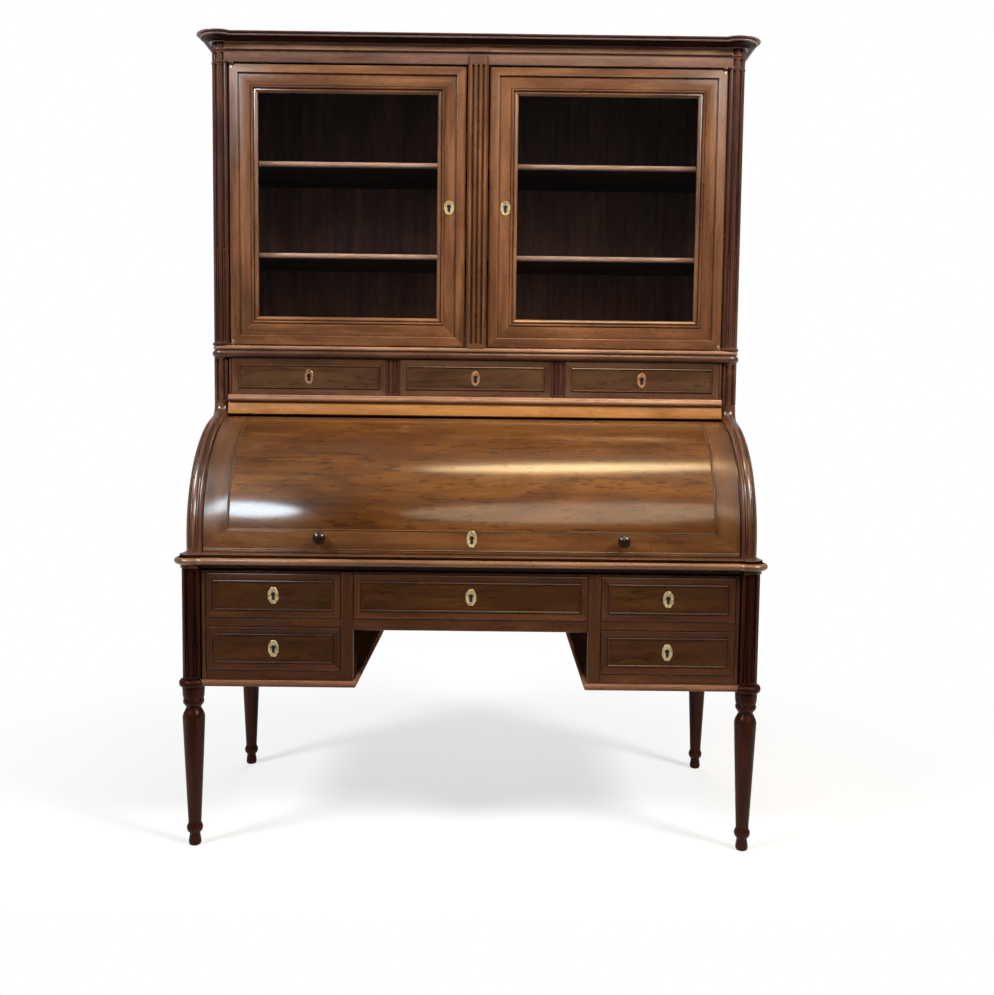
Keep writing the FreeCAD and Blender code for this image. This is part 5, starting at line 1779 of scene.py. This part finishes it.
@dataclass(frozen=True)
class CarriedNodes:
    """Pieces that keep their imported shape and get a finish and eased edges."""

    edge: float = 0.0008

    def build(self) -> None:
        """Dresses the pieces that are mostly inside the desk."""
        looks: dict[str, tuple[Finish, Axis]] = {
            "base_drawer_runners": (OAK, Axis.Y), "shelf_cleats": (BACK_BOARDS, Axis.Y),
            "pigeonhole_nest": (MAHOGANY, Axis.X), "nest_left_drawer": (FIGURED_MAHOGANY, Axis.X),
            "nest_right_drawer": (FIGURED_MAHOGANY, Axis.X), "cylinder_arms": (BRASS, Axis.X),
            "pivot_fittings": (BRASS, Axis.Z), "left_door_glass": (GLASS, Axis.Z), "right_door_glass": (GLASS, Axis.Z),
            "left_door_glazing_beads": (DARK_MAHOGANY, Axis.Z), "right_door_glazing_beads": (DARK_MAHOGANY, Axis.Z)}
        for name, (finish, axis) in looks.items():
            node = frame["nodes"][name]
            node.data.materials.clear()
            node.data.materials.append(finish.material(axis))
            if finish is not GLASS:
                eased = node.modifiers.new("eased_edges", "BEVEL")
                eased.width = self.edge
                eased.segments = 2
                eased.limit_method = "ANGLE"
            LOG.info("%s: carried over with %s", name, finish.name)


@dataclass(frozen=True)
class Lamp:
    """A soft oval lamp that looks at a target, with a beam of some degrees."""

    name: str
    place: Spot
    target: Spot
    size: Pair
    power: float
    colour: Colour
    beam: float = 180.0

    def build(self) -> None:
        """Hangs the lamp where the camera can't see it."""
        data = bpy.data.lights.new(self.name, "AREA")
        data.shape = "ELLIPSE"
        data.size, data.size_y = self.size
        data.energy = self.power
        data.color = self.colour
        data.spread = math.radians(self.beam)
        lamp = bpy.data.objects.new(self.name, data)
        bpy.context.scene.collection.objects.link(lamp)
        lamp.location = self.place
        lamp.rotation_euler = (Vector(self.target) - Vector(self.place)).to_track_quat("-Z", "Y").to_euler()
        lamp.visible_camera = False


DESK_MIDDLE = (0.0, 0.0, 1.2)
LAMPS = (
    Lamp("key", (-3.7, -2.8, 4.8), DESK_MIDDLE, (1.6, 1.6), 320, (0.98, 0.99, 1.0)),
    Lamp("fill", (3.7, -2.8, 4.6), DESK_MIDDLE, (1.6, 1.6), 350, (1.0, 0.97, 0.92)),
    Lamp("strip", (0.45, -0.89, 3.07), (0.3, -0.25, 1.0), (1.45, 0.38), 4.0, (1.0, 0.75, 0.4), 60),
    Lamp("cool", (-0.65, -0.6, 1.02), (-0.58, -0.28, 0.87), (0.27, 0.13), 0.3, (0.73, 0.88, 1.0), 64),
    Lamp("glow", (0.28, -0.64, 1.04), (0.23, -0.28, 0.88), (1.0, 0.2), 0.52, (1.0, 0.83, 0.6), 90),
    Lamp("back", (0, 3.2, 1.8), DESK_MIDDLE, (2.2, 0.6), 40, WHITE),
)


@dataclass(frozen=True)
class Studio:
    """Pale floor, white background, soft lamps and the camera."""

    focal: float = 1068.98
    frame_height: float = 995
    sensor: float = 36.0
    camera_at: Spot = (0.0533, -3.0158, 1.1199)
    pitch: float = 0.0772
    roll: float = 0.0118
    yaw: float = 0.0037
    floor_reach: float = 60.0
    floor_sides: int = 64
    floor_lit: Pair = (-1.1, -0.75)
    floor_near: Pair = (-0.75, -0.4)
    floor_dim: Colour = (0.04, 0.04, 0.04)
    floor_tones: Pair = (0.8, 0.83)
    shadow_reach: Pair = (0.7, 2.2)
    shadow_depth: float = 0.4
    mirrored_share: float = 0.4
    floor_behind: Pair = (0.4, 0.8)
    floor_aside: Pair = (1.5, 3.0)
    backdrop_turn: Pair = (-0.1, 0.75)
    backdrop_light: Pair = (0.03, 0.35)
    overhead_turn: Pair = (0.3, 1.0)
    overhead_light: Pair = (0.0, 0.2)
    backdrop_behind: Pair = (0.0, 0.3)
    backdrop_aside: Pair = (0.35, 0.6)

    def camera(self) -> None:
        """Sets the camera to the view of the photo."""
        data = bpy.data.cameras.new("camera")
        data.sensor_width = self.sensor
        data.lens = self.sensor * self.focal / self.frame_height
        shot = bpy.data.objects.new("camera", data)
        bpy.context.scene.collection.objects.link(shot)
        across = Vector((math.cos(self.yaw), -math.sin(self.yaw), 0))
        ahead = Vector((math.sin(self.yaw), math.cos(self.yaw), 0))
        raised = ahead * math.sin(self.pitch) + Vector((0, 0, math.cos(self.pitch)))
        right = across * math.cos(self.roll) + raised * math.sin(self.roll)
        upward = raised * math.cos(self.roll) - across * math.sin(self.roll)
        turn = Matrix((right, upward, right.cross(upward))).transposed().to_4x4()
        shot.matrix_world = Matrix.Translation(self.camera_at) @ turn
        bpy.context.scene.camera = shot

    def background_rays(self, tree: Tree) -> tuple[Socket, Socket, Socket]:
        """Tells the rays apart that the background has to treat in its own way.

        Args:
            tree: Nodes to add to.

        Returns:
            1 for rays from the camera, 1 for those by way of metal or varnish, and 1 for those through glass.
        """
        path = tree.add("LightPath", {})
        plain = tree.reckon("LESS_THAN", path.outputs["Diffuse Depth"], 0.5)
        through = tree.reckon("MULTIPLY", path.outputs["Is Transmission Ray"], plain)
        return path.outputs["Is Camera Ray"], path.outputs["Is Glossy Ray"], through

    def seen_through(self, tree: Tree, through: Socket, spot: bpy.types.Node, behind: Pair, aside: Pair) -> Socket:
        """Gives the rays through glass that meet the background behind the desk or beside it.

        Args:
            tree: Nodes to add to.
            through: 1 for rays through glass.
            spot: Node that gives the place or the way across, in depth and up.
            behind: Range of the depth over which the background comes in.
            aside: Range of the distance across over which it comes in.

        Returns:
            The share of the background.
        """
        far = tree.ranged(spot.outputs["Y"], behind, (0.0, 1.0))
        wide = tree.ranged(tree.reckon("ABSOLUTE", spot.outputs["X"]), aside, (0.0, 1.0))
        return tree.reckon("MULTIPLY", through, tree.reckon("MAXIMUM", far, wide))

    def floor_paint(self) -> bpy.types.Material:
        """Makes the floor's finish: white away from the desk, shaded under it and dim far in front of it.

        Returns:
            The material.
        """
        paint = bpy.data.materials.new("studio_floor")
        tree = Tree(paint)
        place = tree.place()
        mottle = tree.noise(place, (1.5, 1.5, 1.5), detail=3, rough=0.5)
        dull, bright = self.floor_tones
        pale = tree.ramp(mottle, ((0.3, (dull, dull, dull)), (0.7, (bright, bright, bright))))
        spot = tree.add("SeparateXYZ", {0: place})
        lit = tree.ranged(spot.outputs["Y"], self.floor_lit, (0.0, 1.0), "SMOOTHSTEP")
        near = tree.ranged(spot.outputs["Y"], self.floor_near, (0.0, 1.0), "SMOOTHSTEP")
        shader = tree.surface({"Base Color": tree.mixed(lit, self.floor_dim, pale), "Roughness": 0.9,
                               "Specular IOR Level": 0.1})
        away = tree.add("VectorMath", {0: place}, operation="LENGTH").outputs["Value"]
        shade = tree.ranged(away, self.shadow_reach, (self.shadow_depth, 0.0), "SMOOTHSTEP")
        fade = tree.reckon("SUBTRACT", 1.0, tree.reckon("MULTIPLY", shade, near))
        seen, mirrored, through = self.background_rays(tree)
        clear = self.seen_through(tree, through, spot, self.floor_behind, self.floor_aside)
        mirrored = tree.reckon("MULTIPLY", tree.reckon("MAXIMUM", mirrored, through), near)
        mirrored = tree.reckon("MULTIPLY", mirrored, self.mirrored_share)
        rays = tree.reckon("MAXIMUM", tree.reckon("MAXIMUM", seen, mirrored), clear)
        white = tree.add("Emission", {"Color": (1, 1, 1, 1), "Strength": 1.0})
        share = tree.reckon("MULTIPLY", fade, rays)
        tree.show(tree.add("MixShader", {0: share, 1: shader.outputs[0], 2: white.outputs[0]}))
        return paint

    def floor(self) -> None:
        """Lays the round floor."""
        turns = spread(0, 2 * math.pi, self.floor_sides)[:-1]
        ring = [(self.floor_reach * math.cos(t), self.floor_reach * math.sin(t), 0) for t in turns]
        mesh = bpy.data.meshes.new("floor")
        mesh.from_pydata(ring, [], [list(range(len(ring)))])
        mesh.materials.append(self.floor_paint())
        ground = bpy.data.objects.new("floor", mesh)
        bpy.context.scene.collection.objects.link(ground)

    def world(self) -> None:
        """Makes the white background; the studio is dim in front of the desk and bright behind it."""
        world = bpy.data.worlds.new("studio")
        bpy.context.scene.world = world
        tree = Tree(world)
        way = tree.add("SeparateXYZ", {0: tree.add("TexCoord", {}).outputs["Generated"]})
        behind = tree.ranged(way.outputs["Y"], self.backdrop_turn, self.backdrop_light, "SMOOTHSTEP")
        overhead = tree.ranged(way.outputs["Z"], self.overhead_turn, self.overhead_light)
        seen, _, through = self.background_rays(tree)
        clear = self.seen_through(tree, through, way, self.backdrop_behind, self.backdrop_aside)
        share = tree.reckon("MAXIMUM", seen, clear)
        white = tree.add("Background", {"Color": (1, 1, 1, 1), "Strength": 1.0})
        soft = tree.add("Background", {"Color": (0.95, 0.97, 1, 1), "Strength": tree.reckon("ADD", behind, overhead)})
        tree.show(tree.add("MixShader", {0: share, 1: soft.outputs[0], 2: white.outputs[0]}), "World Output")

    def build(self) -> None:
        """Sets up the whole studio."""
        bpy.context.scene.view_settings.view_transform = "Standard"
        self.camera()
        self.floor()
        self.world()
        for lamp in LAMPS:
            lamp.build()


def main() -> None:
    """Dresses the whole desk and sets up the studio."""
    logging.basicConfig(level=logging.INFO, format="%(message)s")
    case = CylinderCase()
    for group in (Studio(), Legs(), Base(), WritingTop(), case, CylinderLid(case), DrawerRow(), Bookcase(),
                  CarriedNodes()):
        LOG.info("%s", type(group).__name__)
        group.build()


if __name__ == "__main__":
    main()
